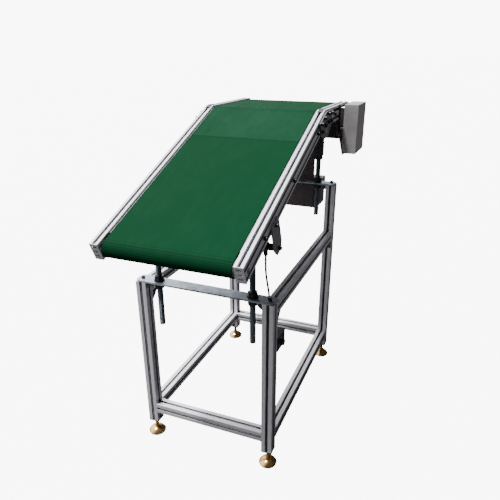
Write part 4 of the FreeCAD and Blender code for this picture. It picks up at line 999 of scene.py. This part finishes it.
class CONVEYOR_OT_build_controller(bpy.types.Operator):
    """Give the controller's case its finish and add a ring of dial marks, a grip knob in place of the plain
    knob, a switch bezel and cover screws
    """

    bl_idname = "conveyor.build_controller"
    bl_label = "Build Speed Controller"

    MARKS, MARKS_FROM, MARKS_STEP = 11, -135, 27
    MARK_SIZE, MARK_CIRCLE = (0.0004, 0.0007, 0.0028, 1), 0.0145
    SWITCH_HALF_WIDE, SWITCH_HALF_TALL = 0.0065, 0.0130
    BEZEL_RIM, BEZEL_PROUD, BEZEL_EDGE = 0.0022, 0.0012, 0.0003
    SCREW_INSET, SCREW_TOP, SCREW_RADIUS, SCREW_HEIGHT = 0.006, 0.046, 0.0028, 0.0018
    KNOB_GAP, FLUTE_DEPTH, KNOB_SHOULDER = 0.0003, 0.045, 0.0015
    KNOB_CROWN = ((0.0014, 0.0012), (0.0012, -0.0005))
    POINTER_HALF, POINTER_DEEP = 0.0007, 0.0009

    def execute(self, context):
        dress("controller_case", moulded_plastic("controller_moulding", (0.018, 0.018, 0.020, 1), 0.48))
        self.build_trim()
        self.build_knob()
        dress("controller_switch", moulded_plastic("switch_rocker", (0.16, 0.012, 0.010, 1), 0.28, 300))
        return {"FINISHED"}

    def build_trim(self):
        """Ring of dial marks, switch bezel and cover screws on the controller's face."""
        face = CASE_HIGH.x
        knob = (KNOB_LOW + KNOB_HIGH) / 2
        switch = (SWITCH_LOW + SWITCH_HIGH) / 2
        shape = bmesh.new()
        for index in range(self.MARKS):
            turn = Matrix.Rotation(math.radians(self.MARKS_FROM + self.MARKS_STEP * index), 4, "X")
            mark = bmesh.ops.create_cube(shape, size=1)["verts"]
            centre = Matrix.Translation((face + self.MARK_SIZE[0] / 2, knob.y, knob.z))
            place = centre @ turn @ Matrix.Translation((0, 0, self.MARK_CIRCLE))
            bmesh.ops.transform(shape, matrix=place @ Matrix.Diagonal(self.MARK_SIZE), verts=mark)
        white = moulded_plastic("dial_print", (0.62, 0.62, 0.60, 1), 0.5)
        piece_from("speed_dial_marks", shape, white, "stand")
        shape = bmesh.new()
        wide, tall, rim = self.SWITCH_HALF_WIDE, self.SWITCH_HALF_TALL, self.BEZEL_RIM
        for low_y, high_y, low_z, high_z in (
                (-wide - rim, wide + rim, tall, tall + rim),
                (-wide - rim, wide + rim, -tall - rim, -tall),
                (-wide - rim, -wide, -tall, tall),
                (wide, wide + rim, -tall, tall)):
            add_box(shape, (face, switch.y + low_y, switch.z + low_z),
                    (face + self.BEZEL_PROUD, switch.y + high_y, switch.z + high_z), self.BEZEL_EDGE)
        for y in (CASE_LOW.y + self.SCREW_INSET, CASE_HIGH.y - self.SCREW_INSET):
            for z in (CASE_LOW.z + self.SCREW_INSET, CASE_LOW.z + self.SCREW_TOP):
                add_screw(shape, Vector((face, y, z)), "X", self.SCREW_RADIUS, self.SCREW_HEIGHT)
        trim = coated_black("controller_trim", roughness=0.35, metallic=0.4, speck=1200, relief=0.00004)
        piece_from("controller_face_trim", shape, trim, "stand")

    def build_knob(self):
        """Grip knob with flutes round its rim and a pale pointer."""
        knob = (KNOB_LOW + KNOB_HIGH) / 2
        radius = (KNOB_HIGH.y - KNOB_LOW.y) / 2
        start, end = CASE_HIGH.x + self.KNOB_GAP, KNOB_HIGH.x
        shape = bmesh.new()
        count = fittings().knob_flutes * 4
        disc = bmesh.ops.create_circle(shape, cap_ends=True, radius=radius, segments=count)["verts"]
        for index, vert in enumerate(disc):
            vert.co *= 1 - self.FLUTE_DEPTH * (index % 4 in (0, 1))
        lift = bmesh.ops.extrude_face_region(shape, geom=[disc[0].link_faces[0]])
        top = next(item for item in lift["geom"] if isinstance(item, bmesh.types.BMFace))
        bmesh.ops.translate(shape, verts=list(top.verts), vec=(0, 0, end - start - self.KNOB_SHOULDER))
        for inset, rise in self.KNOB_CROWN:
            bmesh.ops.inset_individual(shape, faces=[top], thickness=inset)
            bmesh.ops.translate(shape, verts=list(top.verts), vec=(0, 0, rise))
        place = Matrix.Translation((start, knob.y, knob.z)) @ AXES["X"]
        bmesh.ops.transform(shape, matrix=place, verts=shape.verts[:])
        grip = moulded_plastic("knob_grip", (0.022, 0.022, 0.024, 1), 0.34, 900)
        piece_from("speed_knob_grip", shape, grip, "controller_knob", ("controller_knob",))
        shape = bmesh.new()
        add_box(shape, (end - self.POINTER_DEEP, knob.y - self.POINTER_HALF, knob.z + 0.001),
                (end - 0.0001, knob.y + self.POINTER_HALF, knob.z + radius - 0.003), 0.0001)
        piece_from("speed_knob_pointer", shape, moulded_plastic("pointer_paint", (0.7, 0.7, 0.68, 1), 0.4),
                   "controller_knob")


class CONVEYOR_OT_detail_control_box(bpy.types.Operator):
    """Add the control box's lid screws, vent louvres, cable glands and isolator"""

    bl_idname = "conveyor.detail_control_box"
    bl_label = "Detail Control Box"

    LID_SCREW_INSET = (0.010, 0.012)
    LOUVRES, LOUVRE_FROM, LOUVRE_STEP, LOUVRE_TALL = 6, 0.022, 0.009, 0.0028
    LOUVRE_ALONG, LOUVRE_PROUD, LOUVRE_EDGE = (0.035, 0.095), 0.0012, 0.0008
    GLANDS = (0.060, 0.095, 0.130)
    GLAND_PROFILE = ((0, 0), (0.0095, 0), (0.0095, 0.007), (0.0075, 0.009), (0.0075, 0.015),
                     (0.0045, 0.018), (0, 0.018))
    COLLAR_PROFILE = ((0, 0), (0.016, 0), (0.016, 0.0009), (0.0115, 0.0009), (0.0105, 0.0019), (0, 0.0019))

    def execute(self, context):
        oxide = coated_black("box_fittings_black", roughness=0.4, metallic=0.5, speck=1200, relief=0.00005)
        shape = bmesh.new()
        in_x, in_y = self.LID_SCREW_INSET
        for x in (LID_LOW.x + in_x, LID_HIGH.x - in_x):
            for y in (LID_LOW.y + in_y, LID_HIGH.y - in_y):
                add_screw(shape, Vector((x, y, LID_HIGH.z)), "Z", 0.0035, 0.0022)
        near, far = (BOX_LOW.y + along for along in self.LOUVRE_ALONG)
        for index in range(self.LOUVRES):
            z = BOX_LOW.z + self.LOUVRE_FROM + index * self.LOUVRE_STEP
            for side in (BOX_LOW.x, BOX_HIGH.x):
                add_box(shape, (side - self.LOUVRE_PROUD, near, z),
                        (side + self.LOUVRE_PROUD, far, z + self.LOUVRE_TALL), self.LOUVRE_EDGE)
        for across in self.GLANDS:
            foot = Vector((BOX_LOW.x + across, BOX_LOW.y + 0.05, BOX_LOW.z))
            add_turned(shape, self.GLAND_PROFILE, foot, "-Z", 24)
        piece_from("control_box_fittings", shape, oxide, "deck")
        shape = bmesh.new()
        centre = Vector((BOX_LOW.x + 0.075, BOX_HIGH.y, (BOX_LOW.z + BOX_HIGH.z) / 2))
        add_turned(shape, self.COLLAR_PROFILE, centre, "Y", 36)
        red = moulded_plastic("stop_switch_red", (0.42, 0.012, 0.010, 1), 0.3, 300)
        piece_from("stop_switch_collar", shape, red, "deck")
        return {"FINISHED"}


OPERATORS = (
    CONVEYOR_OT_set_stage,
    CONVEYOR_OT_run_cable,
    CONVEYOR_OT_finish_profiles,
    CONVEYOR_OT_finish_fittings,
    CONVEYOR_OT_finish_belt_run,
    CONVEYOR_OT_finish_drive,
    CONVEYOR_OT_add_bracket_screws,
    CONVEYOR_OT_fit_end_plates,
    CONVEYOR_OT_build_motor,
    CONVEYOR_OT_build_controller,
    CONVEYOR_OT_detail_control_box,
)


class CONVEYOR_PT_sidebar(bpy.types.Panel):
    """The conveyor's steps, in the order that they are run"""

    bl_idname = "CONVEYOR_PT_sidebar"
    bl_label = "Belt Conveyor"
    bl_space_type = "VIEW_3D"
    bl_region_type = "UI"
    bl_category = "Conveyor"

    def draw(self, context):
        for operator in OPERATORS:
            self.layout.operator(operator.bl_idname)
        for setting in SETTINGS:
            group = getattr(context.scene, setting)
            column = self.layout.column(align=True)
            for name in group.__annotations__:
                column.prop(group, name)


SETTINGS = {
    "conveyor_finishes": ConveyorFinishSettings,
    "conveyor_fittings": ConveyorFittingSettings,
    "conveyor_stage": ConveyorStageSettings,
}
CLASSES = (*SETTINGS.values(), *OPERATORS, CONVEYOR_PT_sidebar)


def register():
    for item in CLASSES:
        bpy.utils.register_class(item)
    for name, group in SETTINGS.items():
        setattr(bpy.types.Scene, name, PointerProperty(type=group))


def unregister():
    for name in SETTINGS:
        delattr(bpy.types.Scene, name)
    for item in reversed(CLASSES):
        bpy.utils.unregister_class(item)


def main():
    register()
    for operator in OPERATORS:
        group, name = operator.bl_idname.split(".")
        getattr(getattr(bpy.ops, group), name)()


if __name__ == "__main__":
    main()
